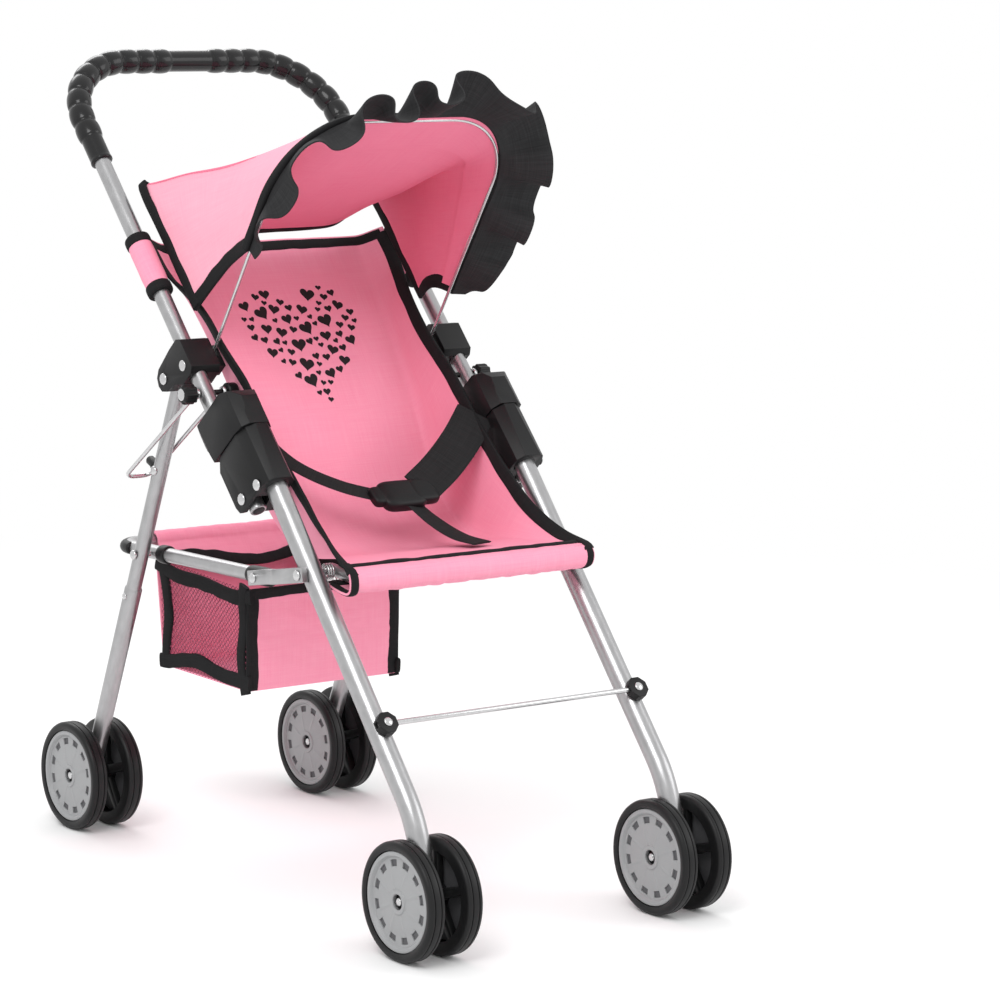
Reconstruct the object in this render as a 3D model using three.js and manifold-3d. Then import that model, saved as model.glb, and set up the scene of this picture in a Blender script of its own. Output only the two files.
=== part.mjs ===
import * as THREE from "three";
import { mergeVertices } from "three/addons/utils/BufferGeometryUtils.js";
import Module from "manifold-3d";

// Doll stroller, millimetres, +Z up. The stroller faces -Y, its left side is -X.
// The origin is on the floor, at the middle of the whole stroller's length.
// Sizes below count from the point midway between the axles.

// ---- driving sizes ----
const TRACK_X = 111; // centre of each leg and of each wheel pair, from the middle
const WHEEL_BASE = 441;
const WHEEL_R = 42;
const GAP = 0.3; // between pieces that touch
const RUN = 0.3; // radial play of a pin in its hole

const LEG_R = 7.9;
const LEG_TILT = 40.3; // degrees from upright
const LEG_BEND_R = 90;
const HINGE_Y = -34; // rivet that holds the housing on the front leg
const HINGE_Z = 304;
const LEG_TOP = 38; // above that rivet, along the leg

const HANDLE_R = 6.2;
const HANDLE_X = 117;
const HANDLE_TILT = 42.9;
const HANDLE_BEHIND = 22.7; // pivot of the handle tube, behind the leg's axis
const HANDLE_UP = 2.3;
const HANDLE_END = 11; // tube below its pivot
const HANDLE_TOP = 409; // pivot to the crossbar's axis
const HANDLE_BEND_R = 60;
const GRIP_FROM = 310;
const GRIP_R = 9;

const REAR_TOP_R = 5.75;
const REAR_LOW_R = 6.7;
const REAR_PIVOT_M = 27.5; // behind the handle tube
const REAR_PIVOT_T = 127.8; // up the handle tube
const REAR_STEP = 181; // pivot to the thicker lower tube

const RAIL_R = 5.5;
const RAIL_X = 97;
const RAIL_BACK_Y = 201;
const RAIL_BACK_Z = 224;
const RAIL_BEND_R = 20;
const KNEE_Y = -1; // hinge between the two side rails
const KNEE_Z = 230;
const LINK_T = 5;
const LINK_H = 11;
const SEAT_PIVOT_S = -76; // on the leg's axis
const SEAT_BAR_X = 90;
const SEAT_BAR_R = 4.5;
const SEAT_BAR_Y = -116;
const SEAT_BAR_Z = 243;

const PIN_R = 2.2;
const KNOB_T = 93.9; // knob pin, up the handle tube
const KNOB_R = 7.5;
const BAIL_R = 1.6;
const BAIL_REACH = 124;
const BAIL_ANGLE = -36.8; // degrees below the horizontal, backward
const BOW_R = 1.2;
const BOW_X = 98;
const BOW_T = 126;
const BOW_LEAN = 0.614; // forward per unit of height
const BOW_TOP_Z = 560;
const BOW_BEND_R = 60;

const AXLE_R = 3;
const TYRE_IN = 9.4; // inner face of a wheel, from the pair's middle
const TYRE_OUT = 22.4;
const RIM_R = 35.2;

// ---- materials ----
function material(color, roughness, metalness) {
  return new THREE.MeshStandardMaterial({ color, roughness, metalness });
}
const steel = material(0xd9dadb, 0.32, 0.85);
const rivetSteel = material(0xe6e7e8, 0.2, 0.9);
const blackPlastic = material(0x111112, 0.45, 0);
const blackGrip = material(0x060607, 0.22, 0);
const tyreBlack = material(0x161617, 0.6, 0);
const discGrey = material(0xb2b3b4, 0.42, 0.1);
const pink = material(0xf59ab6, 0.85, 0);
const pinkLight = material(0xfac2d2, 0.85, 0);
const webbing = material(0x0b0b0c, 0.8, 0);

// ---- solids ----
const wasm = await Module();
wasm.setup();

function toSolid(geometry) {
  const bare = geometry.clone();
  bare.deleteAttribute("normal");
  bare.deleteAttribute("uv");
  const merged = mergeVertices(bare, 1e-3);
  return new wasm.Manifold(
    new wasm.Mesh({
      numProp: 3,
      vertProperties: new Float32Array(merged.attributes.position.array),
      triVerts: new Uint32Array(merged.index.array),
    })
  );
}

function toGeometry(solid) {
  const mesh = solid.getMesh();
  const geometry = new THREE.BufferGeometry();
  geometry.setAttribute("position", new THREE.BufferAttribute(new Float32Array(mesh.vertProperties), 3));
  geometry.setIndex(new THREE.BufferAttribute(new Uint32Array(mesh.triVerts), 1));
  geometry.computeVertexNormals();
  return geometry;
}

function join(...geometries) {
  return toGeometry(geometries.map(toSolid).reduce((a, b) => a.add(b)));
}

function cut(geometry, ...tools) {
  return toGeometry(tools.map(toSolid).reduce((a, b) => a.subtract(b), toSolid(geometry)));
}

function common(a, b) {
  return toGeometry(toSolid(a).intersect(toSolid(b)));
}

// ---- frames ----
const radians = THREE.MathUtils.degToRad;

// A point s up the front leg's axis and n behind it.
function onLeg(s, n, x) {
  const a = radians(LEG_TILT);
  return new THREE.Vector3(
    x,
    HINGE_Y + s * Math.sin(a) + n * Math.cos(a),
    HINGE_Z + s * Math.cos(a) - n * Math.sin(a)
  );
}
const handlePivot = onLeg(HANDLE_UP, HANDLE_BEHIND, 0);

// A point t up the handle tube's axis from its pivot and m behind it.
function onHandle(t, m, x) {
  const a = radians(HANDLE_TILT);
  return new THREE.Vector3(
    x,
    handlePivot.y + t * Math.sin(a) + m * Math.cos(a),
    handlePivot.z + t * Math.cos(a) - m * Math.sin(a)
  );
}
const seatPivot = onLeg(SEAT_PIVOT_S, 0, 0);
const rearPivot = onHandle(REAR_PIVOT_T, REAR_PIVOT_M, 0);
const knobPivot = onHandle(KNOB_T, 0, 0);
const bowPivot = onHandle(BOW_T, 0, 0);
const frontAxle = new THREE.Vector3(0, -WHEEL_BASE / 2, WHEEL_R);
const rearAxle = new THREE.Vector3(0, WHEEL_BASE / 2, WHEEL_R);
const knee = new THREE.Vector3(0, KNEE_Y, KNEE_Z);

// The rear leg crosses the side rail here.
function rearLegAt(z) {
  const f = (rearPivot.z - z) / (rearPivot.z - rearAxle.z);
  return rearPivot.y + f * (rearAxle.y - rearPivot.y);
}
const railPin = new THREE.Vector3(0, 148, 225.6);
railPin.y = rearLegAt(railPin.z);

// ---- shapes ----
// A path through given points, which become the sections of an extrusion.
class PointPath extends THREE.Curve {
  constructor(points) {
    super();
    this.points = points;
  }
  getPoint(u) {
    const last = this.points.length - 1;
    const at = Math.min(last - 1, Math.floor(u * last + 1e-9));
    return this.points[at].clone().lerp(this.points[at + 1], u * last - at);
  }
  getPointAt(u) {
    return this.getPoint(u);
  }
  getTangentAt(u) {
    const last = this.points.length - 1;
    const i = Math.round(u * last);
    const before = this.points[Math.max(0, i - 1)];
    const after = this.points[Math.min(last, i + 1)];
    const here = this.points[i];
    const tangent = new THREE.Vector3();
    if (i > 0) tangent.add(here.clone().sub(before).normalize());
    if (i < last) tangent.add(after.clone().sub(here).normalize());
    return tangent.normalize();
  }
  getTangent(u) {
    return this.getTangentAt(u);
  }
}

// Corner points with each inner corner rounded by an arc of the given radius.
function rounded(corners, radius, pieces = 5) {
  const out = [corners[0]];
  for (let i = 1; i < corners.length - 1; i++) {
    const c = corners[i];
    const a = corners[i - 1].clone().sub(c).normalize();
    const b = corners[i + 1].clone().sub(c).normalize();
    const half = a.angleTo(b) / 2;
    const centre = a.clone().add(b).normalize().multiplyScalar(radius / Math.sin(half)).add(c);
    const from = a.clone().multiplyScalar(radius / Math.tan(half)).add(c).sub(centre);
    const to = b.clone().multiplyScalar(radius / Math.tan(half)).add(c).sub(centre);
    const turn = from.angleTo(to);
    for (let k = 0; k <= pieces; k++) {
      const f = k / pieces;
      const p = from.clone().multiplyScalar(Math.sin((1 - f) * turn) / Math.sin(turn));
      p.add(to.clone().multiplyScalar(Math.sin(f * turn) / Math.sin(turn)));
      out.push(p.add(centre));
    }
  }
  out.push(corners[corners.length - 1]);
  return out;
}

function circleShape(radius, sides) {
  const points = [];
  for (let i = 0; i < sides; i++) {
    const a = ((i + 0.5) / sides) * 2 * Math.PI;
    points.push(new THREE.Vector2(radius * Math.cos(a), radius * Math.sin(a)));
  }
  return new THREE.Shape(points);
}

function boxShape(width, height) {
  const w = width / 2;
  const h = height / 2;
  return new THREE.Shape([[-w, -h], [w, -h], [w, h], [-w, h]].map((p) => new THREE.Vector2(...p)));
}

function along(points, shape) {
  return new THREE.ExtrudeGeometry(shape, {
    steps: points.length - 1,
    bevelEnabled: false,
    extrudePath: new PointPath(points),
  });
}

function tube(points, radius, sides = 10) {
  return along(points, circleShape(radius, sides));
}

// A cylinder along X through the given point.
function pinX(radius, x0, x1, at, sides = 12) {
  const g = new THREE.CylinderGeometry(radius, radius, Math.abs(x1 - x0), sides);
  g.rotateZ(Math.PI / 2);
  g.translate((x0 + x1) / 2, at.y, at.z);
  return g;
}

// A profile in (m, t) of the handle's side view, pulled along X.
function slabX(profile, x0, x1) {
  const shape = new THREE.Shape(profile.map((p) => new THREE.Vector2(...p)));
  const g = new THREE.ExtrudeGeometry(shape, { depth: x1 - x0, bevelEnabled: false });
  // shape x -> m (local Y), shape y -> t (local Z), depth -> X
  g.applyMatrix4(new THREE.Matrix4().set(0, 0, 1, x0, 1, 0, 0, 0, 0, 1, 0, 0, 0, 0, 0, 1));
  return g;
}

// A profile in (x, m), pulled up the handle's axis.
function prismT(profile, t0, t1) {
  const shape = new THREE.Shape(profile.map((p) => new THREE.Vector2(...p)));
  const g = new THREE.ExtrudeGeometry(shape, { depth: t1 - t0, bevelEnabled: false });
  g.translate(0, 0, t0);
  return g;
}

function boreT(radius, x, m, t0, t1, sides = 16) {
  const g = new THREE.CylinderGeometry(radius, radius, t1 - t0, sides);
  g.rotateX(Math.PI / 2);
  g.translate(x, m, (t0 + t1) / 2);
  return g;
}

// A closed thin sheet: point(u, v) gives its middle, and it is thickened both ways.
function shell(point, nu, nv, thickness) {
  const mid = [];
  for (let j = 0; j <= nv; j++) {
    for (let i = 0; i <= nu; i++) mid.push(point(i / nu, j / nv));
  }
  const at = (i, j) => mid[j * (nu + 1) + i];
  const position = [];
  for (const side of [0.5, -0.5]) {
    for (let j = 0; j <= nv; j++) {
      for (let i = 0; i <= nu; i++) {
        const du = at(Math.min(nu, i + 1), j).clone().sub(at(Math.max(0, i - 1), j));
        const dv = at(i, Math.min(nv, j + 1)).clone().sub(at(i, Math.max(0, j - 1)));
        const normal = du.cross(dv).normalize();
        position.push(...at(i, j).clone().addScaledVector(normal, side * thickness));
      }
    }
  }
  const half = (nu + 1) * (nv + 1);
  const id = (i, j, back) => j * (nu + 1) + i + (back ? half : 0);
  const index = [];
  const quad = (a, b, c, d) => index.push(a, b, c, a, c, d);
  for (let j = 0; j < nv; j++) {
    for (let i = 0; i < nu; i++) {
      quad(id(i, j), id(i + 1, j), id(i + 1, j + 1), id(i, j + 1));
      quad(id(i, j + 1, 1), id(i + 1, j + 1, 1), id(i + 1, j, 1), id(i, j, 1));
    }
  }
  for (let i = 0; i < nu; i++) {
    quad(id(i, 0, 1), id(i + 1, 0, 1), id(i + 1, 0), id(i, 0));
    quad(id(i, nv), id(i + 1, nv), id(i + 1, nv, 1), id(i, nv, 1));
  }
  for (let j = 0; j < nv; j++) {
    quad(id(0, j + 1, 1), id(0, j, 1), id(0, j), id(0, j + 1));
    quad(id(nu, j, 1), id(nu, j + 1, 1), id(nu, j + 1), id(nu, j));
  }
  const geometry = new THREE.BufferGeometry();
  geometry.setAttribute("position", new THREE.Float32BufferAttribute(position, 3));
  geometry.setIndex(index);
  geometry.computeVertexNormals();
  return geometry;
}

// ---- scene graph ----
const stroller = new THREE.Group();
const chassis = new THREE.Group();
const FRONT_END = -WHEEL_BASE / 2 - WHEEL_R;
const BACK_END = onHandle(HANDLE_TOP, 0, 0).y + GRIP_R;
chassis.position.y = -(FRONT_END + BACK_END) / 2;
stroller.add(chassis);

function add(name, geometry, mat, parent = chassis) {
  const mesh = new THREE.Mesh(geometry, mat);
  mesh.name = name;
  parent.add(mesh);
  return mesh;
}

// Everything that follows the handle's slope is built in this frame: x, m, t.
const hinge = new THREE.Group();
hinge.position.copy(handlePivot);
hinge.rotation.x = -radians(HANDLE_TILT);
chassis.add(hinge);

const SIDES = [["L", -1], ["R", 1]];

// A geometry made for the right side, turned into the left one where asked.
function mirrored(geometry, side) {
  if (side > 0) return geometry;
  const solid = toSolid(geometry).mirror([1, 0, 0]);
  return toGeometry(solid);
}

// ---- front legs ----
const legCornerS = (frontAxle.y - HINGE_Y) / Math.sin(radians(LEG_TILT));
const legPath = rounded(
  [
    onLeg(LEG_TOP, 0, TRACK_X),
    onLeg(legCornerS, 0, TRACK_X),
    new THREE.Vector3(TRACK_X, frontAxle.y, WHEEL_R - 10),
  ],
  LEG_BEND_R
);
const frontLeg = cut(
  tube(legPath, LEG_R, 12),
  pinX(AXLE_R + RUN, TRACK_X - 20, TRACK_X + 20, frontAxle),
  pinX(PIN_R + RUN, TRACK_X - 20, TRACK_X + 20, seatPivot)
);
for (const [id, side] of SIDES) add(`front_leg_${id}`, mirrored(frontLeg, side), steel);

// ---- cross rod and its clamps ----
const ROD_S = -205;
const ROD_N = -11.6;
const ROD_R = 2;
const CLAMP_R = 8.5;
const CLAMP_OUT = 14.8;
const rodAt = onLeg(ROD_S, ROD_N, 0);
const ROD_END = TRACK_X + 6;
add("front_cross_rod", pinX(ROD_R, -ROD_END, ROD_END, rodAt, 10), steel);
for (const [id, side] of SIDES) {
  const from = onLeg(ROD_S, -(LEG_R + GAP), side * TRACK_X);
  const to = onLeg(ROD_S, -CLAMP_OUT, side * TRACK_X);
  const block = tube([from, to], CLAMP_R, 8);
  const hole = pinX(ROD_R + RUN, side * (TRACK_X - 20), side * (TRACK_X + 20), rodAt);
  add(`rod_clamp_${id}`, cut(block, hole), blackPlastic);
}

// ---- hinge housings ----
const HOUSE_X0 = 99.6;
const HOUSE_X1 = 126.6;
const HOUSE_TOP = 39.6;
const HOUSE_REAR = 11;
const houseSide = [
  [-35.4, -7], [-12, -7], [4, -8.6], [9, -6], [HOUSE_REAR, 0],
  [HOUSE_REAR, 31], [4, HOUSE_TOP], [-37.4, HOUSE_TOP],
];
const houseTop = [
  [HOUSE_X0 + 7, -37.5], [HOUSE_X1 - 11, -37.5], [HOUSE_X1 - 4, -33], [HOUSE_X1, -24],
  [HOUSE_X1, 13], [HOUSE_X0, 13], [HOUSE_X0, -30],
];
const channelX0 = HANDLE_X - HANDLE_R - 0.4;
const channelX1 = HANDLE_X + HANDLE_R + 0.4;
const channel = slabX([[-13.2, -20], [30, -20], [30, 60], [-13.2, 60]], channelX0, channelX1);
const legBore = tube([onLeg(-40, 0, TRACK_X), onLeg(LEG_TOP + 0.6, 0, TRACK_X)], LEG_R + GAP, 16);
const toHinge = new THREE.Matrix4()
  .compose(
    handlePivot,
    new THREE.Quaternion().setFromAxisAngle(new THREE.Vector3(1, 0, 0), -radians(HANDLE_TILT)),
    new THREE.Vector3(1, 1, 1)
  )
  .invert();
legBore.applyMatrix4(toHinge);
const origin = new THREE.Vector3();
const housing = cut(
  common(slabX(houseSide, HOUSE_X0, HOUSE_X1), prismT(houseTop, -20, 60)),
  channel,
  legBore,
  pinX(PIN_R + RUN, 80, 140, origin)
);
for (const [id, side] of SIDES) add(`hinge_housing_${id}`, mirrored(housing, side), blackPlastic, hinge);

// A headed pin along X.
function rivet(x0, x1, at, headR = 4.4, headT = 1.8) {
  return join(
    pinX(PIN_R, x0, x1, at, 10),
    pinX(headR, x0 - headT, x0, at, 12),
    pinX(headR, x1, x1 + headT, at, 12)
  );
}
const handleRivet = rivet(HOUSE_X0 - GAP, HOUSE_X1 + GAP, origin);
for (const [id, side] of SIDES) add(`handle_pivot_rivet_${id}`, mirrored(handleRivet, side), rivetSteel, hinge);

// ---- lock caps, each a block that slides on the handle tube ----
const CAP_FROM = HOUSE_TOP + 0.6;
const CAP_TO = 74;
const capSide = [
  [-37.4, CAP_FROM], [11, CAP_FROM], [12.5, 50], [17, 54], [19.5, 61], [18.5, 69], [14, CAP_TO],
  [-27, CAP_TO], [-35, 70.5], [-39, 63.5], [-38.6, 55], [-37.4, 50],
];
const capTop = [
  [HOUSE_X0 + 6, -39.5], [HOUSE_X1 - 9, -39.5], [HOUSE_X1 - 1, -33], [HOUSE_X1 + 1, -24],
  [HOUSE_X1 + 1, 12], [HOUSE_X1 - 4, 20], [HOUSE_X0 + 6, 20], [HOUSE_X0 - 1, 12], [HOUSE_X0 - 1, -30],
];
const cap = cut(
  common(slabX(capSide, HOUSE_X0 - 2, HOUSE_X1 + 2), prismT(capTop, 30, 90)),
  boreT(HANDLE_R + 0.4, HANDLE_X, 0, 20, 100)
);
for (const [id, side] of SIDES) add(`lock_cap_${id}`, mirrored(cap, side), blackPlastic, hinge);

// ---- handle ----
const handleCorners = [
  new THREE.Vector3(-HANDLE_X, 0, -HANDLE_END),
  new THREE.Vector3(-HANDLE_X, 0, HANDLE_TOP),
  new THREE.Vector3(HANDLE_X, 0, HANDLE_TOP),
  new THREE.Vector3(HANDLE_X, 0, -HANDLE_END),
];
const handlePath = rounded(handleCorners, HANDLE_BEND_R, 6);
const handleHoles = SIDES.flatMap(([, side]) => [
  pinX(PIN_R + RUN, side * 80, side * 140, origin),
  pinX(PIN_R + RUN, side * 80, side * 140, new THREE.Vector3(0, 0, KNOB_T)),
]);
add("push_handle", cut(tube(handlePath, HANDLE_R, 10), ...handleHoles), steel, hinge);

const gripCorners = handleCorners.map((p) => p.clone());
gripCorners[0].z = GRIP_FROM;
gripCorners[3].z = GRIP_FROM;
const gripShape = circleShape(GRIP_R, 10);
gripShape.holes.push(circleShape(HANDLE_R + GAP, 10));
add("handle_grip", along(rounded(gripCorners, HANDLE_BEND_R, 6), gripShape), blackGrip, hinge);

// ---- upper brackets: each clamps the handle tube, forks round the rear leg and holds the bow ----
const BRACKET_X0 = 101.4;
const BRACKET_X1 = 126.2;
const EAR_X0 = 94.4;
const bracketSide = [
  [-9.5, 112], [-5, 108.6], [9, 108.6], [18, 115.5], [30, 118], [36, 122.5], [37.2, 128],
  [35, 134], [29, 137.6], [7, 139.6], [-5, 139.6], [-9.5, 136],
];
const earSide = [[-6, 113], [6, 113], [6, 131], [3, 134], [-3, 134], [-6, 131]];
const rearSlotX0 = TRACK_X - REAR_TOP_R - 0.4;
const rearSlotX1 = TRACK_X + REAR_TOP_R + 0.4;
const bracket = cut(
  join(slabX(bracketSide, BRACKET_X0, BRACKET_X1), slabX(earSide, EAR_X0, BRACKET_X0 + 1)),
  boreT(HANDLE_R + GAP, HANDLE_X, 0, 90, 160),
  slabX([[15, 90], [60, 90], [60, 160], [15, 160]], rearSlotX0, rearSlotX1),
  slabX([[-10, 121], [10, 121], [10, 160], [-10, 160]], BOW_X - BOW_R - 0.5, BOW_X + BOW_R + 0.5),
  pinX(BOW_R + RUN, BOW_X - 1, BOW_X + 7.5, new THREE.Vector3(0, 0, BOW_T), 10),
  pinX(PIN_R + RUN, 90, 140, new THREE.Vector3(0, REAR_PIVOT_M, REAR_PIVOT_T))
);
for (const [id, side] of SIDES) add(`upper_bracket_${id}`, mirrored(bracket, side), blackPlastic, hinge);

const rearRivet = rivet(BRACKET_X0 - GAP, BRACKET_X1 + GAP, new THREE.Vector3(0, REAR_PIVOT_M, REAR_PIVOT_T));
for (const [id, side] of SIDES) add(`rear_leg_rivet_${id}`, mirrored(rearRivet, side), rivetSteel, hinge);

// ---- knob pins ----
const KNOB_IN0 = 92;
const KNOB_IN1 = 100.2;
const KNOB_OUT0 = 127.6;
const KNOB_OUT1 = 138;
const knobAt = new THREE.Vector3(0, 0, KNOB_T);
const knobPin = join(
  pinX(PIN_R, KNOB_IN0 + 1, KNOB_OUT1 - 1, knobAt, 10),
  pinX(KNOB_R - 0.5, KNOB_IN0, KNOB_IN1, knobAt, 10),
  pinX(KNOB_R, KNOB_OUT0, KNOB_OUT1, knobAt, 10)
);
for (const [id, side] of SIDES) add(`knob_pin_${id}`, mirrored(knobPin, side), blackPlastic, hinge);

// ---- bails: a wire loop that hangs from each knob pin, round the back of the rear leg ----
const BAIL_X0 = 102.4;
const BAIL_X1 = 125.5;
const bailDir = new THREE.Vector3(0, Math.cos(radians(BAIL_ANGLE)), Math.sin(radians(BAIL_ANGLE)));
const bailPoint = (x, reach) => bailDir.clone().multiplyScalar(reach).add(knobPivot).setX(x);
const bail = cut(
  join(
    tube(
      rounded(
        [
          bailPoint(BAIL_X0, 3),
          bailPoint(BAIL_X0, BAIL_REACH),
          bailPoint(BAIL_X1, BAIL_REACH),
          bailPoint(BAIL_X1, 3),
        ],
        8,
        4
      ),
      BAIL_R,
      8
    ),
    pinX(PIN_R + 2, BAIL_X0 - BAIL_R, BAIL_X0 + BAIL_R, knobPivot),
    pinX(PIN_R + 2, BAIL_X1 - BAIL_R, BAIL_X1 + BAIL_R, knobPivot)
  ),
  pinX(PIN_R + RUN, 90, 140, knobPivot)
);
for (const [id, side] of SIDES) add(`bail_${id}`, mirrored(bail, side), steel);

// ---- rear legs ----
const rearDir = rearAxle.clone().sub(rearPivot);
const rearLength = rearDir.length();
const rearProfile = [
  [0, -7], [REAR_TOP_R - 1, -7], [REAR_TOP_R, -6], [REAR_TOP_R, REAR_STEP], [REAR_LOW_R, REAR_STEP],
  [REAR_LOW_R, rearLength + 8], [0, rearLength + 8],
];
const rearTurned = new THREE.LatheGeometry(rearProfile.map((p) => new THREE.Vector2(...p)), 12);
rearTurned.applyQuaternion(
  new THREE.Quaternion().setFromUnitVectors(new THREE.Vector3(0, 1, 0), rearDir.clone().normalize())
);
rearTurned.translate(TRACK_X, rearPivot.y, rearPivot.z);
const rearLeg = cut(
  rearTurned,
  pinX(PIN_R + RUN, 80, 140, rearPivot),
  pinX(PIN_R + RUN, 80, 140, railPin),
  pinX(AXLE_R + RUN, 80, 140, rearAxle)
);
for (const [id, side] of SIDES) add(`rear_leg_${id}`, mirrored(rearLeg, side), steel);

// ---- rear rail, a tube bent round the back of the frame ----
const railEnd = new THREE.Vector3(0, KNEE_Y - 8, KNEE_Z + 0.3);
const railCorners = [
  railEnd.clone().setX(-RAIL_X),
  new THREE.Vector3(-RAIL_X, RAIL_BACK_Y, RAIL_BACK_Z),
  new THREE.Vector3(RAIL_X, RAIL_BACK_Y, RAIL_BACK_Z),
  railEnd.clone().setX(RAIL_X),
];
const railHoles = SIDES.flatMap(([, side]) => [
  pinX(PIN_R + RUN, side * 80, side * 110, knee),
  pinX(PIN_R + RUN, side * 80, side * 110, railPin),
]);
const RIVET_OUT_X = TRACK_X + REAR_LOW_R + GAP;
add("rear_rail", cut(tube(rounded(railCorners, RAIL_BEND_R, 5), RAIL_R, 10), ...railHoles), steel);

// The rivet through the rear leg, ending at the rail's side.
const railRivet = join(
  pinX(PIN_R, RAIL_X + RAIL_R + GAP, RIVET_OUT_X, railPin, 10),
  pinX(3.8, RIVET_OUT_X, RIVET_OUT_X + 1.8, railPin, 12)
);
for (const [id, side] of SIDES) add(`rail_rivet_${id}`, mirrored(railRivet, side), rivetSteel);

// ---- front side links, from the knee to the outside of the front leg ----
const LINK_IN_X = RAIL_X + RAIL_R + GAP + LINK_T / 2;
const LINK_OUT_X = TRACK_X + LEG_R + GAP + LINK_T / 2;
const linkPoint = (f, x) => knee.clone().lerp(seatPivot, f).setX(x);
const linkBar = along(
  [
    linkPoint(-0.08, LINK_IN_X),
    linkPoint(0.22, LINK_IN_X),
    linkPoint(0.62, LINK_OUT_X),
    linkPoint(1.07, LINK_OUT_X),
  ],
  boxShape(LINK_T, LINK_H)
);
const link = cut(
  join(linkBar, pinX(PIN_R, RAIL_X - RAIL_R - 1, LINK_IN_X, knee, 10)),
  pinX(PIN_R + RUN, LINK_OUT_X - 6, LINK_OUT_X + 6, seatPivot)
);
for (const [id, side] of SIDES) add(`front_link_${id}`, mirrored(link, side), steel);

const seatPin = rivet(SEAT_BAR_X - SEAT_BAR_R - GAP, LINK_OUT_X + LINK_T / 2 + GAP, seatPivot, 3.9, 1.8);
for (const [id, side] of SIDES) add(`seat_pivot_pin_${id}`, mirrored(seatPin, side), rivetSteel);

// ---- seat bar ----
const barEnd = seatPivot.clone().add(new THREE.Vector3(0, 8, 0.5));
const barCorners = [
  barEnd.clone().setX(-SEAT_BAR_X),
  new THREE.Vector3(-SEAT_BAR_X, SEAT_BAR_Y, SEAT_BAR_Z),
  new THREE.Vector3(SEAT_BAR_X, SEAT_BAR_Y, SEAT_BAR_Z),
  barEnd.clone().setX(SEAT_BAR_X),
];
const barHoles = SIDES.map(([, side]) => pinX(PIN_R + RUN, side * 80, side * 96, seatPivot));
add("seat_bar", cut(tube(rounded(barCorners, 12, 4), SEAT_BAR_R, 8), ...barHoles), steel);

// ---- torsion springs round the seat pivots ----
const SPRING_R = 5.6;
const SPRING_WIRE = 0.8;
const SPRING_TURNS = 3;
const SPRING_X0 = SEAT_BAR_X + SEAT_BAR_R + SPRING_WIRE + 0.4;
const SPRING_X1 = TRACK_X - LEG_R - SPRING_WIRE - 0.4;
const springPath = [];
for (let i = 0; i <= SPRING_TURNS * 10; i++) {
  const a = (i / 10) * 2 * Math.PI + 0.6;
  springPath.push(
    new THREE.Vector3(
      SPRING_X0 + ((SPRING_X1 - SPRING_X0) * i) / (SPRING_TURNS * 10),
      seatPivot.y + SPRING_R * Math.cos(a),
      seatPivot.z + SPRING_R * Math.sin(a)
    )
  );
}
springPath.push(new THREE.Vector3(SPRING_X1, seatPivot.y + 24, seatPivot.z + 21));
const spring = tube(springPath, SPRING_WIRE, 6);
for (const [id, side] of SIDES) add(`torsion_spring_${id}`, mirrored(spring, side), rivetSteel);

// ---- canopy bow ----
const bowPoint = (x, z) => new THREE.Vector3(x, bowPivot.y - BOW_LEAN * (z - bowPivot.z), z);
const bowStub = BOW_X + 5;
add(
  "canopy_bow",
  tube(
    [
      bowPivot.clone().setX(-bowStub),
      ...rounded(
        [
          bowPivot.clone().setX(-BOW_X),
          bowPoint(-BOW_X, BOW_TOP_Z),
          bowPoint(BOW_X, BOW_TOP_Z),
          bowPivot.clone().setX(BOW_X),
        ],
        BOW_BEND_R,
        7
      ),
      bowPivot.clone().setX(bowStub),
    ],
    BOW_R,
    8
  ),
  steel
);

// ---- wheels ----
function lathe(profile, segments) {
  const g = new THREE.LatheGeometry(profile.map((p) => new THREE.Vector2(...p)), segments);
  g.rotateZ(-Math.PI / 2); // the profile's height now runs along +X
  return g;
}
const WHEEL_SEGMENTS = 20;
const flat = 1 / Math.cos(Math.PI / WHEEL_SEGMENTS); // corners stand out, facets touch the floor
const TREAD_R = WHEEL_R * flat;
const HUB_R = 8.5;
const tyreRing = lathe(
  [
    [RIM_R - 3, TYRE_IN], [TREAD_R - 2.5, TYRE_IN], [TREAD_R, TYRE_IN + 2.5], [TREAD_R, TYRE_OUT - 3],
    [TREAD_R - 2.5, TYRE_OUT], [RIM_R + GAP, TYRE_OUT], [RIM_R + GAP, TYRE_OUT - 4.6],
    [RIM_R - 3, TYRE_OUT - 4.6], [RIM_R - 3, TYRE_IN],
  ],
  WHEEL_SEGMENTS
);
const hub = lathe(
  [[AXLE_R + RUN, TYRE_IN], [HUB_R, TYRE_IN], [HUB_R, 17], [AXLE_R + RUN, 17], [AXLE_R + RUN, TYRE_IN]],
  12
);
const SPOKES = 5;
const spokes = [];
for (let i = 0; i < SPOKES; i++) {
  const g = new THREE.BoxGeometry(5, 7, RIM_R - 4);
  g.translate((TYRE_IN + 17) / 2, 0, (RIM_R - 4) / 2 + 6);
  g.rotateX((i / SPOKES) * 2 * Math.PI);
  spokes.push(g);
}
const wheel = join(tyreRing, hub, ...spokes);
wheel.rotateX(Math.PI / WHEEL_SEGMENTS);
const DISC_IN = TYRE_OUT - 4.2;
const disc = lathe(
  [
    [5.5, DISC_IN], [RIM_R, DISC_IN], [RIM_R, TYRE_OUT - 0.6], [RIM_R - 2.4, TYRE_OUT - 0.6],
    [RIM_R - 3.6, DISC_IN + 1.4], [5.5, DISC_IN + 2], [5.5, DISC_IN],
  ],
  WHEEL_SEGMENTS
);
disc.rotateX(Math.PI / WHEEL_SEGMENTS);
const pairs = [
  ["front_L", -TRACK_X, frontAxle],
  ["front_R", TRACK_X, frontAxle],
  ["rear_L", -TRACK_X, rearAxle],
  ["rear_R", TRACK_X, rearAxle],
];
const AXLE_HALF = 19;
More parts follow.
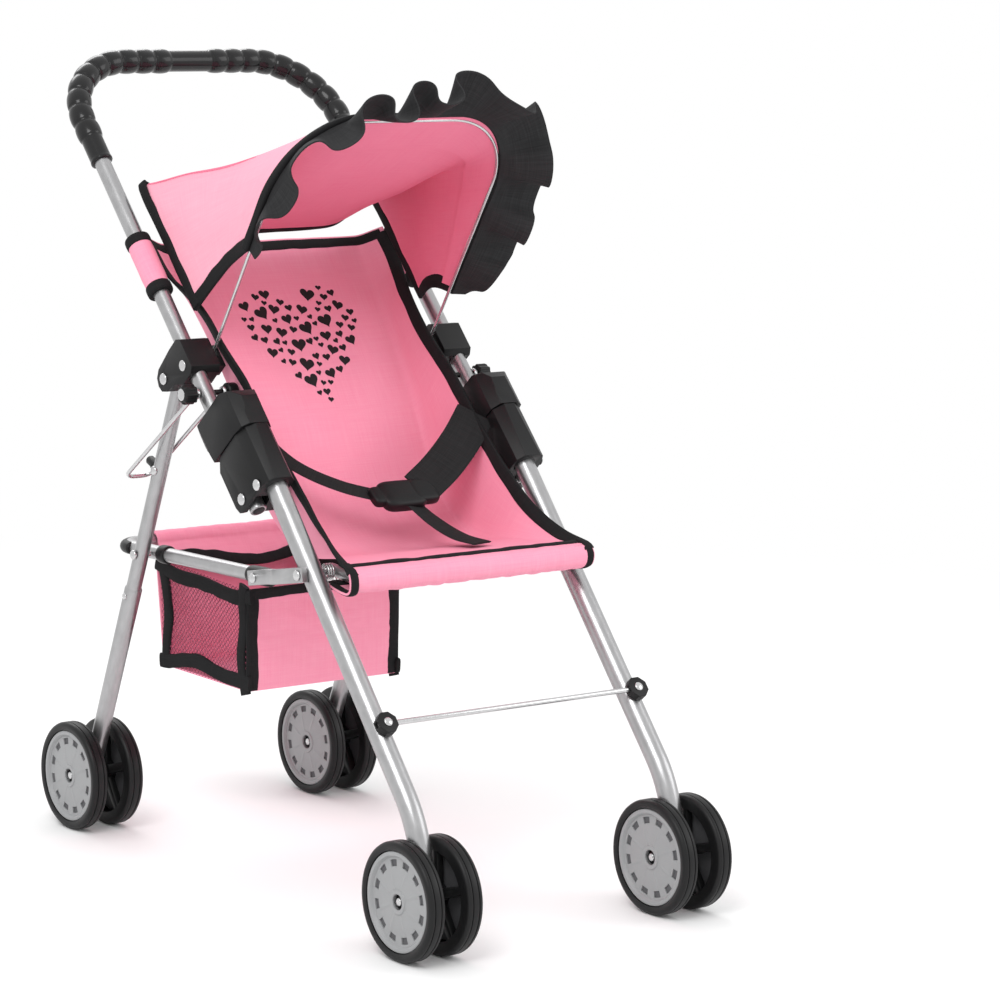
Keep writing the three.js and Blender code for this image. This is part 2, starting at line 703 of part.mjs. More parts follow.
for (const [id, x, at] of pairs) {
  add(`axle_${id}`, pinX(AXLE_R, x - AXLE_HALF, x + AXLE_HALF, at, 12), steel);
  for (const [which, side] of [["a", -1], ["b", 1]]) {
    const tyreMesh = add(`wheel_${id}_${which}`, mirrored(wheel, side), tyreBlack);
    const discMesh = add(`disc_${id}_${which}`, mirrored(disc, side), discGrey);
    tyreMesh.position.set(x, at.y, at.z);
    discMesh.position.set(x, at.y, at.z);
  }
}

// ---- soft parts ----
// Points of [y, z, x], walked at an even pace in the side view.
function polyline(points) {
  const lengths = [0];
  for (let i = 1; i < points.length; i++) {
    const step = Math.hypot(points[i][0] - points[i - 1][0], points[i][1] - points[i - 1][1]);
    lengths.push(lengths[i - 1] + step);
  }
  const total = lengths[lengths.length - 1];
  return (v) => {
    const d = v * total;
    let i = 1;
    while (i < lengths.length - 1 && lengths[i] < d) i++;
    const f = (d - lengths[i - 1]) / (lengths[i] - lengths[i - 1]);
    return points[i].map((to, k) => points[i - 1][k] + f * (to - points[i - 1][k]));
  };
}

// Seat sling: a straight upper edge each side, a deeper base between them, and a sleeve on each handle tube.
const SLEEVE_FROM = 188;
const SLEEVE_TO = 234;
const SLEEVE_WALL = 2.2;
const sleeveTop = onHandle(SLEEVE_TO - 8, 0, 0);
const sleeveLow = onHandle(SLEEVE_FROM + 6, 0, 0);
const SLEEVE_X = HANDLE_X - HANDLE_R - 1.6;
const seatEdge = polyline([
  [sleeveTop.y, sleeveTop.z, SLEEVE_X], [sleeveLow.y, sleeveLow.z, SLEEVE_X], [92, 418, 93], [64, 392, 92.5],
  [28, 363, 92], [-2, 332, 92.5], [-40, 298, 93], [-72, 274, 95], [-112, 256, 102], [-119, 254.5, 103],
]);
const seatBase = polyline([
  [148, 449, 86], [110, 404, 82], [62, 340, 80], [22, 272, 79], [-16, 248, 79], [-70, 252, 80],
  [-112, 253.4, 95], [-119, 253.4, 100],
]);
const SLING_CELLS = 10;
const slingSheet = shell(
  (u, v) => {
    const [ey, ez, ex] = seatEdge(v);
    const [by, bz, bx] = seatBase(v);
    const side = Math.sign(u - 0.5);
    if (u < 0.5 / SLING_CELLS || u > 1 - 0.5 / SLING_CELLS) return new THREE.Vector3(side * ex, ey, ez);
    return new THREE.Vector3((bx * (2 * u - 1)) / (1 - 2 / SLING_CELLS), by, bz);
  },
  SLING_CELLS,
  14,
  2.4
);
const sleeves = SIDES.map(([, side]) =>
  tube(
    [onHandle(SLEEVE_FROM, 0, side * HANDLE_X), onHandle(SLEEVE_TO, 0, side * HANDLE_X)],
    HANDLE_R + GAP + SLEEVE_WALL,
    10
  )
);
const SLEEVE_BORE = (HANDLE_R + GAP) / Math.cos(Math.PI / 10);
const sleeveBores = SIDES.map(([, side]) =>
  tube([onHandle(100, 0, side * HANDLE_X), onHandle(300, 0, side * HANDLE_X)], SLEEVE_BORE, 10)
);
add("seat_sling", cut(join(slingSheet, ...sleeves), ...sleeveBores), pink);

// Canopy: from the bow back to the handle tubes.
const CANOPY_BACK_X = 101;
const CANOPY_OVER = 4;
function archPoint(u, halfWidth, radius, foot, top) {
  // u runs 0..1 over one side, the top and the other side of an arch of unit scale
  const side = top - foot - radius;
  const arc = (radius * Math.PI) / 2;
  const flatTop = 2 * (halfWidth - radius);
  const total = 2 * side + 2 * arc + flatTop;
  let d = u * total;
  if (d <= side) return [-halfWidth, foot + d];
  d -= side;
  if (d <= arc) {
    const turn = d / radius;
    return [-halfWidth + radius - radius * Math.cos(turn), foot + side + radius * Math.sin(turn)];
  }
  d -= arc;
  if (d <= flatTop) return [-halfWidth + radius + d, top];
  d -= flatTop;
  if (d <= arc) {
    const turn = d / radius;
    return [halfWidth - radius + radius * Math.sin(turn), foot + side + radius * Math.cos(turn)];
  }
  d -= arc;
  return [halfWidth, top - radius - d];
}
const canopy = shell(
  (u, v) => {
    const [fx, fz] = archPoint(u, BOW_X + CANOPY_OVER, BOW_BEND_R, 430, BOW_TOP_Z + CANOPY_OVER);
    const front = bowPoint(fx, fz);
    const [bx, bt] = archPoint(u, CANOPY_BACK_X, 14, 162, 290);
    const back = onHandle(bt, -9.5, bx);
    return back.lerp(front, v);
  },
  22,
  6,
  2
);
add("canopy_fabric", canopy, pinkLight);

// Basket: an open box with a sleeve round the rear rail's crosspiece.
const BASKET_X = 68;
const BASKET_Y0 = 65;
const BASKET_Y1 = 184;
const BASKET_Z0 = 130;
const BASKET_Z1 = 204;
const WALL = 2.4;
function block(x0, x1, y0, y1, z0, z1) {
  const g = new THREE.BoxGeometry(x1 - x0, y1 - y0, z1 - z0);
  g.translate((x0 + x1) / 2, (y0 + y1) / 2, (z0 + z1) / 2);
  return g;
}
const backCentre = new THREE.Vector3(0, RAIL_BACK_Y, RAIL_BACK_Z);
const apron = along(
  [new THREE.Vector3(0, BASKET_Y1 - WALL / 2, BASKET_Z1 - 6), new THREE.Vector3(0, RAIL_BACK_Y - 5, RAIL_BACK_Z - 4.6)],
  boxShape(2 * BASKET_X, WALL)
);
const basket = cut(
  join(
    block(-BASKET_X, BASKET_X, BASKET_Y0, BASKET_Y1, BASKET_Z0, BASKET_Z1),
    apron,
    pinX(RAIL_R + GAP + WALL, -BASKET_X, BASKET_X, backCentre, 14)
  ),
  block(-BASKET_X + WALL, BASKET_X - WALL, BASKET_Y0 + WALL, BASKET_Y1 - WALL, BASKET_Z0 + WALL, BASKET_Z1 + 1),
  pinX(RAIL_R + GAP, -BASKET_X - 1, BASKET_X + 1, backCentre, 14)
);
add("basket", basket, pink);

// Harness: a lap strap with a buckle, and a strap between the legs.
const strap = boxShape(2, 15);
const harness = join(
  along(
    [new THREE.Vector3(-71, 2, 283), new THREE.Vector3(-50, -14, 270), new THREE.Vector3(-8, -22, 260)],
    strap
  ),
  along(
    [new THREE.Vector3(8, -22, 260), new THREE.Vector3(50, -14, 270), new THREE.Vector3(71, 2, 283)],
    strap
  ),
  block(-16, 16, -33, -13, 255, 265),
  block(-7.5, 7.5, -92, -30, 254.3, 256.3)
);
add("harness", harness, webbing);

export default stroller;
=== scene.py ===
import math

import bmesh
import bpy
import numpy as np
from mathutils import Matrix


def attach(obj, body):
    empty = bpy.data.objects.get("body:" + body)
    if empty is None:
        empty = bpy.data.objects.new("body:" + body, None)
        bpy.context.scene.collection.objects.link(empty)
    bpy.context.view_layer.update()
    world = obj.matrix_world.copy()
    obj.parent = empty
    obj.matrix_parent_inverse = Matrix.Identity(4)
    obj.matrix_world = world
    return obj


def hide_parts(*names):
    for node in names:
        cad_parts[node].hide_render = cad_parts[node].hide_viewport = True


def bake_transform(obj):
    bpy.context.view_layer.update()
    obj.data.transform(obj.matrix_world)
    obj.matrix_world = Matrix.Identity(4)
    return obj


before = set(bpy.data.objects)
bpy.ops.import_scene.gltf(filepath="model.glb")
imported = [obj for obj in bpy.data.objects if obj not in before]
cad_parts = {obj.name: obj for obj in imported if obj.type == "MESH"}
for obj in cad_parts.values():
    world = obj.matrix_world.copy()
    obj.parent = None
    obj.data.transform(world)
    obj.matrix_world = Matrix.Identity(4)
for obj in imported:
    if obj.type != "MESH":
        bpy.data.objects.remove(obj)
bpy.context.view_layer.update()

# Sizes in millimetres, in the frame's coordinates: +Z up, the stroller faces -Y.
TRACK_X = 111.0
AXLE_Y = 220.5
WHEEL_R = 42.0
LEG_R = 7.9
LEG_TILT = math.radians(40.3)
HINGE_Y, HINGE_Z = -34.0, 304.0
HANDLE_R = 6.2
HANDLE_X = 117.0
HANDLE_TILT = math.radians(42.9)
HANDLE_TOP = 409.0
HANDLE_BEND_R = 60.0
RAIL_R = 5.5
RAIL_X = 97.0
BOW_X = 98.0
BOW_LEAN = 0.614
BOW_TOP_Z = 560.0
BOW_BEND_R = 60.0
SIDES = (("L", -1), ("R", 1))
PAIRS = (("front_L", -1, -1), ("front_R", 1, -1), ("rear_L", -1, 1), ("rear_R", 1, 1))


# ---- places ----
def vec(x, y, z):
    return np.stack(np.broadcast_arrays(np.float64(x), y, z), -1).astype(float)


def squared(wave, power):
    """A sine or cosine pressed toward a square wave: sign(wave) * |wave| ** power."""
    return np.sign(wave) * np.abs(wave) ** power


def unit(a):
    return a / np.maximum(np.linalg.norm(a, axis=-1, keepdims=True), 1e-12)


def on_leg(s, n, x):
    """s up the front leg from its top rivet, n behind the leg's axis."""
    c, q = math.cos(LEG_TILT), math.sin(LEG_TILT)
    return vec(x, HINGE_Y + s * q + n * c, HINGE_Z + s * c - n * q)


PIVOT = on_leg(2.3, 22.7, 0.0)
UP_T = np.array([0.0, math.sin(HANDLE_TILT), math.cos(HANDLE_TILT)])
BACK_M = np.array([0.0, math.cos(HANDLE_TILT), -math.sin(HANDLE_TILT)])


def on_handle(t, m, x):
    """t up the handle tube from its pivot, m behind the tube's axis."""
    t, m = np.float64(t), np.float64(m)
    return vec(x, PIVOT[1] + t * UP_T[1] + m * BACK_M[1], PIVOT[2] + t * UP_T[2] + m * BACK_M[2])


GRIP_R = 9.0
# Sizes count from midway between the axles; the frame's origin is under the middle of the whole length.
SHIFT = np.array([0.0, (AXLE_Y + WHEEL_R - GRIP_R - on_handle(HANDLE_TOP, 0, 0)[1]) / 2, 0.0])
REAR_PIVOT = on_handle(127.8, 27.5, 0.0)
KNOB = on_handle(93.9, 0.0, 0.0)
BOW_PIVOT = on_handle(126.0, 0.0, 0.0)
SEAT_PIVOT = on_leg(-76.0, 0.0, 0.0)
KNEE = np.array([0.0, -1.0, 230.0])
REAR_AXLE = np.array([0.0, AXLE_Y, WHEEL_R])
REAR_DIR = unit(REAR_AXLE - REAR_PIVOT)
RAIL_BACK = np.array([0.0, 201.0, 224.0])
RAIL_PIN_Z = 225.6
RAIL_PIN = REAR_PIVOT + REAR_DIR * (REAR_PIVOT[2] - RAIL_PIN_Z) / -REAR_DIR[2]


def on_bow(x, z):
    return vec(x, BOW_PIVOT[1] - BOW_LEAN * (z - BOW_PIVOT[2]), z)


# Cloth that crosses a joint: its two bodies, and where it leaves the first and reaches the second.
ACROSS_BOW = np.array([0.0, 1.0, BOW_LEAN]) / math.hypot(1.0, BOW_LEAN)
SEAT_CLOTH = ("frame", "handle", np.array([0.0, -50.0, 250.0]), np.array([0.0, 140.0, 450.0]))
HOOD_CLOTH = ("handle", "canopy", BOW_PIVOT + ACROSS_BOW * 70.0, BOW_PIVOT + ACROSS_BOW * 6.0)


# ---- shader maths ----
class Sock:
    """A shader socket with arithmetic."""

    def __init__(self, shader, socket):
        self.shader, self.socket = shader, socket

    def _math(self, operation, *others, **settings):
        return self.shader.node("ShaderNodeMath", *others, operation=operation, **settings)

    def __add__(self, other):
        return self._math("ADD", self, other)

    __radd__ = __add__

    def __sub__(self, other):
        return self._math("SUBTRACT", self, other)

    def __rsub__(self, other):
        return self._math("SUBTRACT", other, self)

    def __mul__(self, other):
        return self._math("MULTIPLY", self, other)

    __rmul__ = __mul__

    def fract(self):
        return self._math("FRACT", self)

    def distance(self, value):
        return self._math("ABSOLUTE", self - value)

    def smooth(self, low, high):
        """0 below low, 1 above high, smooth between."""
        node = self.shader.raw("ShaderNodeMapRange", interpolation_type="SMOOTHSTEP")
        self.shader.feed(node.inputs["Value"], self)
        node.inputs["From Min"].default_value = low
        node.inputs["From Max"].default_value = high
        return Sock(self.shader, node.outputs["Result"])


class Shader:
    """A material under construction. Constants go straight onto the sockets."""

    def __init__(self, name, **constants):
        self.material = bpy.data.materials.new(name)
        self.material.use_nodes = True
        self.tree = self.material.node_tree
        self.bsdf = self.tree.nodes["Principled BSDF"]
        for key, value in constants.items():
            self.bsdf.inputs[key.replace("_", " ")].default_value = value

    def raw(self, kind, **settings):
        node = self.tree.nodes.new(kind)
        for key, value in settings.items():
            setattr(node, key, value)
        return node

    def feed(self, socket, value):
        if isinstance(value, Sock):
            self.tree.links.new(value.socket, socket)
        else:
            socket.default_value = value

    def node(self, kind, *values, **settings):
        node = self.raw(kind, **settings)
        for socket, value in zip(node.inputs, values):
            self.feed(socket, value)
        return Sock(self, node.outputs[0])

    def coords(self, output, scale):
        """Object or UV coordinates in metres, times scale."""
        source = self.raw("ShaderNodeTexCoord")
        node = self.raw("ShaderNodeVectorMath", operation="MULTIPLY")
        self.tree.links.new(source.outputs[output], node.inputs[0])
        node.inputs[1].default_value = scale
        return Sock(self, node.outputs[0])

    def axes(self, vector):
        node = self.raw("ShaderNodeSeparateXYZ")
        self.feed(node.inputs[0], vector)
        return [Sock(self, out) for out in node.outputs]

    def noise(self, vector, detail=2.0, roughness=0.55):
        node = self.raw("ShaderNodeTexNoise")
        self.feed(node.inputs["Vector"], vector)
        node.inputs["Scale"].default_value = 1.0
        node.inputs["Detail"].default_value = detail
        node.inputs["Roughness"].default_value = roughness
        return Sock(self, node.outputs["Fac"])

    def mix(self, factor, a, b):
        node = self.raw("ShaderNodeMix", data_type="RGBA")
        self.feed(node.inputs["Factor"], factor)
        colours = [s for s in node.inputs if s.type == "RGBA"]
        for socket, colour in zip(colours, (a, b)):
            self.feed(socket, colour)
        return Sock(self, next(s for s in node.outputs if s.type == "RGBA"))

    def set(self, name, value):
        self.feed(self.bsdf.inputs[name], value)
        return self

    def bump(self, height, distance, strength=1.0):
        node = self.raw("ShaderNodeBump")
        self.feed(node.inputs["Height"], height)
        node.inputs["Distance"].default_value = distance
        node.inputs["Strength"].default_value = strength
        self.set("Normal", Sock(self, node.outputs["Normal"]))
        return self


def rgba(r, g, b):
    return (r, g, b, 1.0)


def metal(name, dark, light, roughness, grain):
    """Satin tube: brightness and roughness drift along fine scratches."""
    s = Shader(name, Metallic=0.9)
    scratch = s.noise(s.coords("Object", (420.0, 90.0, 90.0)), 3.0)
    s.set("Base Color", s.mix(scratch, dark, light))
    s.set("Roughness", scratch * grain + roughness)
    return s.material


def moulded(name, colour, roughness, bump, coat=0.0, gloss=0.25):
    """Moulded plastic with a faint grain."""
    s = Shader(name, Base_Color=colour, Coat_Weight=coat, Specular_IOR_Level=gloss)
    grain = s.noise(s.coords("Object", (900.0, 900.0, 900.0)), 3.0)
    patches = s.noise(s.coords("Object", (30.0, 30.0, 30.0)))
    s.set("Roughness", patches * 0.14 + roughness)
    s.bump(grain, bump, 0.4)
    return s.material


def woven(name, shade, tone, slub, contrast, roughness=0.82):
    """Plain weave with uneven threads: two long thin noises, one along each thread direction."""
    s = Shader(name, Roughness=roughness, Specular_IOR_Level=0.15)
    warp = s.noise(s.coords("UV", (26.0, 1100.0, 1.0)), 3.0, 0.7)
    weft = s.noise(s.coords("UV", (1100.0, 26.0, 1.0)), 3.0, 0.7)
    threads = (warp + weft) * 0.5
    broad = s.noise(s.coords("UV", (16.0, 16.0, 1.0)))
    base = s.mix(broad.smooth(0.3, 0.7), shade, tone)
    s.set("Base Color", s.mix((threads - 0.5) * contrast + 0.5, base, slub))
    s.bump(threads, 0.00035, 0.5)
    return s.material


def netting(name, pitch, thread):
    """Diamond net: threads where either diagonal is near a whole number of pitches, holes elsewhere."""
    s = Shader(name, Base_Color=rgba(0.3, 0.05, 0.1), Roughness=0.7)
    u, v, _ = s.axes(s.coords("UV", (1.0 / pitch, 1.0 / pitch, 1.0)))
    rising = (u + v).fract().distance(0.5).smooth(0.5 - thread, 0.5 - thread * 0.6)
    falling = (u - v).fract().distance(0.5).smooth(0.5 - thread, 0.5 - thread * 0.6)
    s.set("Alpha", s.node("ShaderNodeMath", rising, falling, operation="MAXIMUM"))
    return s.material


STEEL = metal("tube_steel", rgba(0.33, 0.33, 0.335), rgba(0.48, 0.48, 0.485), 0.24, 0.16)
CHROME = metal("rivet_steel", rgba(0.5, 0.5, 0.505), rgba(0.66, 0.66, 0.665), 0.12, 0.1)
BLACK = moulded("black_plastic", rgba(0.0075, 0.0075, 0.008), 0.36, 0.0001)
GRIP = moulded("grip_black", rgba(0.004, 0.004, 0.0045), 0.2, 0.00005, 0.3)
TYRE = moulded("tyre_black", rgba(0.009, 0.009, 0.0095), 0.34, 0.0001)
DISC = moulded("disc_grey", rgba(0.30, 0.305, 0.31), 0.38, 0.00005, 0.0, 0.5)
# Painted shade: a darker grey for a disc behind the wheel covers, seen through their holes.
DISC_PAINTED_SHADE = moulded("disc_back_painted_shade", rgba(0.10, 0.10, 0.105), 0.5, 0.00005)
PINK = woven("pink_cloth", rgba(0.86, 0.235, 0.37), rgba(0.88, 0.255, 0.39), rgba(0.94, 0.42, 0.53), 1.3)
# Painted shade: a darker copy of the pink cloth, for the inside of the hood and its inner hem.
PINK_IN_PAINTED_SHADE = woven("pink_inner_painted_shade", rgba(0.80, 0.15, 0.27), rgba(0.84, 0.18, 0.30), rgba(0.88, 0.3, 0.41), 1.3)
# Painted light: a lighter copy of the pink cloth, for the outer face of the hood.
PINK_TOP_PAINTED_LIGHT = woven("pink_top_painted_light", rgba(0.88, 0.29, 0.41), rgba(0.89, 0.31, 0.43), rgba(0.95, 0.5, 0.59), 1.3)
DENIM = woven(
    "black_cloth", rgba(0.006, 0.006, 0.0065), rgba(0.009, 0.009, 0.0095), rgba(0.045, 0.045, 0.047), 1.5
)
TAPE = woven(
    "black_tape", rgba(0.005, 0.005, 0.0055), rgba(0.007, 0.007, 0.0075), rgba(0.02, 0.02, 0.021), 1.2
)
WEB = woven(
    "black_webbing", rgba(0.006, 0.006, 0.0065), rgba(0.008, 0.008, 0.0085), rgba(0.03, 0.03, 0.031), 1.5
)
INK = moulded("heart_ink", rgba(0.012, 0.011, 0.012), 0.6, 0.00003)
NET = netting("side_net", 0.0044, 0.08)


# ---- surfaces ----
def grid_faces(rows, columns, around=False, flip=False):
    """Quads over a grid of points; around closes the second direction."""
    i, j = np.meshgrid(np.arange(rows - 1), np.arange(columns if around else columns - 1), indexing="ij")
    k = (j + 1) % columns
    quads = np.stack([i * columns + j, (i + 1) * columns + j, (i + 1) * columns + k, i * columns + k], -1)
    quads = quads.reshape(-1, 4)
    return quads[:, ::-1] if flip else quads


class Piece:
    """Gathers surfaces, in millimetres, into one named mesh."""

    def __init__(self, name):
        self.name, self.points, self.faces, self.slots, self.uvs = name, [], [], [], []
        self.materials, self.count = [], 0

    def add(self, points, faces, material, uv=None):
        points = np.asarray(points, float).reshape(-1, 3)
        uv = np.zeros((len(points), 2)) if uv is None else np.asarray(uv, float).reshape(-1, 2)
        if material not in self.materials:
            self.materials.append(material)
        self.points.append(points)
        self.uvs.append(uv)
        for group in faces if isinstance(faces, list) else [faces]:
            self.faces += (np.asarray(group) + self.count).tolist()
            self.slots += [self.materials.index(material)] * len(group)
        self.count += len(points)
        return self

    def make(self, body, *nodes, slot=None, sharp=40.0):
        mesh = bpy.data.meshes.new(self.name)
        mesh.from_pydata(((np.concatenate(self.points) + SHIFT) * 0.001).tolist(), [], self.faces)
        corner = np.empty(len(mesh.loops), np.int32)
        mesh.loops.foreach_get("vertex_index", corner)
        layer = mesh.uv_layers.new(name="UVMap")
        layer.data.foreach_set("uv", (np.concatenate(self.uvs)[corner] * 0.001).ravel())
        for material in self.materials:
            mesh.materials.append(material)
        mesh.polygons.foreach_set("material_index", self.slots)
        return finish_mesh(self.name, mesh, body, nodes, sharp)


def finish_mesh(name, mesh, body, nodes, sharp):
    """Turns the normals outward, shades smooth up to the given angle and joins the piece to its body. A piece
    given two bodies is joined to neither; its transform is only baked in."""
    work = bmesh.new()
    work.from_mesh(mesh)
    bmesh.ops.remove_doubles(work, verts=work.verts, dist=1e-6)
    bmesh.ops.recalc_face_normals(work, faces=work.faces)
    for face in work.faces:
        face.smooth = True
    for edge in work.edges:
        edge.smooth = len(edge.link_faces) == 2 and edge.calc_face_angle(0.0) < math.radians(sharp)
    work.to_mesh(mesh)
    work.free()
    obj = bpy.data.objects.new(name, mesh)
    bpy.context.scene.collection.objects.link(obj)
    if isinstance(body, str):
        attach(obj, body)
    else:
        first, second, start, end = body
        tuple((start + SHIFT) * 0.001)
        tuple((end + SHIFT) * 0.001)
        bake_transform(obj)
    if nodes:
        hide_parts(*nodes)
    return obj


def rounded(corners, radius, pieces=10):
    """The corner points, each inner corner replaced by an arc of the given radius."""
    corners = [np.asarray(c, float) for c in corners]
    out = [corners[0]]
    for before, c, after in zip(corners, corners[1:], corners[2:]):
        a, b = unit(before - c), unit(after - c)
        half = math.acos(float(np.clip(a @ b, -1, 1))) / 2
        centre = c + unit(a + b) * radius / math.sin(half)
        start = c + a * radius / math.tan(half) - centre
        end = c + b * radius / math.tan(half) - centre
        turn = math.pi - 2 * half
        for k in range(pieces + 1):
            f = k / pieces
            turned = start * math.sin((1 - f) * turn) + end * math.sin(f * turn)
            out.append(centre + turned / math.sin(turn))
    out.append(corners[-1])
    return np.array(out)


def resample(path, step):
    """The same path with evenly spaced points about step apart."""
    at = np.concatenate([[0], np.cumsum(np.linalg.norm(np.diff(path, axis=0), axis=1))])
    new = np.linspace(0, at[-1], max(2, int(at[-1] / step) + 1))
    return np.stack([np.interp(new, at, path[:, k]) for k in range(3)], 1)


def path_frame(path, up):
    """Tangent, side and normal at each point. up is a direction, or one per point, that the path is never
    along."""
    tangent = unit(np.gradient(path, axis=0))
    side = unit(np.cross(np.broadcast_to(up, path.shape), tangent))
    return tangent, side, np.cross(tangent, side)


def sweep(path, up, section):
    """path + section[..., 0] * side + section[..., 1] * normal, with both ends closed. section is (M, 2) or
    (N, M, 2)."""
    _, side, normal = path_frame(path, up)
    section = np.broadcast_to(section, (len(path),) + np.shape(section)[-2:])
    body = path[:, None] + section[..., :1] * side[:, None] + section[..., 1:] * normal[:, None]
    n, m = body.shape[:2]
    points = np.concatenate([body.reshape(-1, 3), path[:1], path[-1:]])
    ring = np.arange(m)
    start = np.stack([ring, np.roll(ring, -1), np.full(m, n * m)], 1)
    end = np.stack([np.roll(ring, -1), ring, np.full(m, 0)], 1) + (n - 1) * m
    end[:, 2] = n * m + 1
    along = np.concatenate([[0], np.cumsum(np.linalg.norm(np.diff(path, axis=0), axis=1))])
    around = np.concatenate([[0], np.cumsum(np.linalg.norm(np.diff(section[0], axis=0), axis=1))])
    uv = np.stack(np.broadcast_arrays(along[:, None], around[None]), -1).reshape(-1, 2)
    return points, [grid_faces(n, m, True), start, end], np.concatenate([uv, uv[:1], uv[-1:]])


def circle(radius, sides=24):
    a = np.arange(sides) / sides * 2 * math.pi
    return np.stack([np.cos(a), np.sin(a)], 1) * np.reshape(radius, np.shape(radius) + (1, 1))


def tube(path, radius, up=(1.0, 0.0, 0.0), sides=24, edge=0.8):
    """A round bar along a path, its ends rounded by edge."""
    path = np.asarray(path, float)
    radius = np.broadcast_to(np.float64(radius), len(path))
    turn = np.linspace(0, math.pi / 2, 4)
    axial, drop = edge * (1 - np.cos(turn)), edge * (1 - np.sin(turn))
    head = path[0] + unit(path[1] - path[0]) * axial[:, None]
    tail = path[-1] - unit(path[-1] - path[-2]) * axial[::-1, None]
    whole = np.concatenate([head, path[1:-1], tail])
    radii = np.concatenate([radius[0] - drop, radius[1:-1], radius[-1] - drop[::-1]])
    return sweep(whole, up, circle(radii, sides))


def lathe_x(profile, at, side=1.0, segments=48):
    """A profile of (radius, x) turned about the X line through at; its first and last points lie on the axis
    or the profile closes on itself."""
    profile = np.asarray(profile, float)
    closed = np.allclose(profile[0], profile[-1])
    if closed:
        profile = profile[:-1]
    a = np.arange(segments) / segments * 2 * math.pi
    radius, x = profile[:, :1], profile[:, 1:]
    points = vec(at[0] + side * x + 0 * a, at[1] + radius * np.cos(a), at[2] + radius * np.sin(a))
    faces = grid_faces(len(profile), segments, True)
    if closed:
        j = np.arange(segments)
        last = (len(profile) - 1) * segments
        k = (j + 1) % segments
        faces = np.concatenate([faces, np.stack([last + j, j, k, last + k], 1)])
    return points, faces


def spline(points, t):
    """Catmull-Rom curve through the rows of points, t from 0 to 1 by chord length."""
    p = np.asarray(points, float)
    at = np.concatenate([[0], np.cumsum(np.linalg.norm(np.diff(p[:, :3], axis=0), axis=1))])
    at /= at[-1]
    slope = np.gradient(p, at, axis=0)
    t = np.asarray(t, float)
    i = np.clip(np.searchsorted(at, t, side="right") - 1, 0, len(p) - 2)
    h = (at[i + 1] - at[i])[..., None]
    f = ((t - at[i]) / (at[i + 1] - at[i]))[..., None]
    return (
        (2 * f**3 - 3 * f**2 + 1) * p[i] + (f**3 - 2 * f**2 + f) * h * slope[i]
        + (3 * f**2 - 2 * f**3) * p[i + 1] + (f**3 - f**2) * h * slope[i + 1]
    )


def ripples(x, y, seed, low=1.0, high=6.0, terms=14):
    """A sum of sine waves in random directions, amplitude 1 / frequency, about -1 to 1."""
    random = np.random.default_rng(seed)
    total = np.zeros(np.broadcast(x, y).shape)
    for _ in range(terms):
        rate = random.uniform(low, high)
        angle, phase = random.uniform(0, 2 * math.pi, 2)
        total += np.sin(2 * math.pi * rate * (x * math.cos(angle) + y * math.sin(angle)) + phase) * low / rate
    return total / math.sqrt(terms)


def lengths(grid):
    """Distance along both directions of a grid, from its middle lines, as (n, m, 2)."""
    n, m = grid.shape[:2]
    down = np.concatenate([[0], np.cumsum(np.linalg.norm(np.diff(grid[:, m // 2], axis=0), axis=1))])
    across = np.concatenate([[0], np.cumsum(np.linalg.norm(np.diff(grid[n // 2], axis=0), axis=1))])
    return np.stack(np.broadcast_arrays(across[None], down[:, None]), -1)


def surface_normal(grid):
    return unit(np.cross(np.gradient(grid, axis=0), np.gradient(grid, axis=1)))


def cloth(grid, thickness=1.2):
    """A closed sheet: the grid of middle points moved half the thickness each way along its normals."""
    n, m = grid.shape[:2]
    normal = surface_normal(grid)
    over = (grid + normal * thickness / 2).reshape(-1, 3)
    under = (grid - normal * thickness / 2).reshape(-1, 3)
    points = np.concatenate([over, under])
    front = grid_faces(n, m)
    ids = np.arange(n * m).reshape(n, m)
    rim = np.concatenate([ids[0], ids[1:, -1], ids[-1, -2::-1], ids[-2:0:-1, 0]])
    following = np.roll(rim, -1)
    edge = np.stack([rim, following, following + n * m, rim + n * m], 1)
    uv = lengths(grid).reshape(-1, 2)
    return points, [front, front[:, ::-1] + n * m, edge], np.concatenate([uv, uv])


def tape(path, inward, width, thickness, wave=0.0, seed=1):
    """A flat binding along an edge: a rounded flat section that reaches from the edge inward by width."""
    path = np.asarray(path, float)
    tangent = unit(np.gradient(path, axis=0))
    inward = np.broadcast_to(inward, path.shape)
    inward = unit(inward - np.sum(inward * tangent, axis=1, keepdims=True) * tangent)
    normal = np.cross(tangent, inward)
    along = np.concatenate([[0], np.cumsum(np.linalg.norm(np.diff(path, axis=0), axis=1))])
    wide = width * (1 + wave * ripples(along / 60.0, 0 * along, seed, 1.0, 4.0))
    lift = wave * 3.0 * ripples(along / 60.0, 0 * along + 5, seed + 7, 1.0, 3.0)
    a = np.arange(16) / 16 * 2 * math.pi
    across = squared(np.cos(a), 0.6) * 0.5
    through = squared(np.sin(a), 0.6) * 0.5
    centre = path + inward * (wide * 0.5 - 1.5)[:, None] + normal * lift[:, None]
    body = (
        centre[:, None] + inward[:, None] * (across * wide[:, None])[..., None]
        + normal[:, None] * (through * thickness)[None, :, None]
    )
    n, m = body.shape[:2]
    points = np.concatenate([body.reshape(-1, 3), centre[:1], centre[-1:]])
    ring = np.arange(m)
    start = np.stack([ring, np.roll(ring, -1), np.full(m, n * m)], 1)
    end = np.stack([np.roll(ring, -1) + (n - 1) * m, ring + (n - 1) * m, np.full(m, n * m + 1)], 1)
    uv = np.stack(np.broadcast_arrays(along[:, None], (a * width / 3)[None]), -1).reshape(-1, 2)
    return points, [grid_faces(n, m, True), start, end], np.concatenate([uv, uv[:1], uv[-1:]])


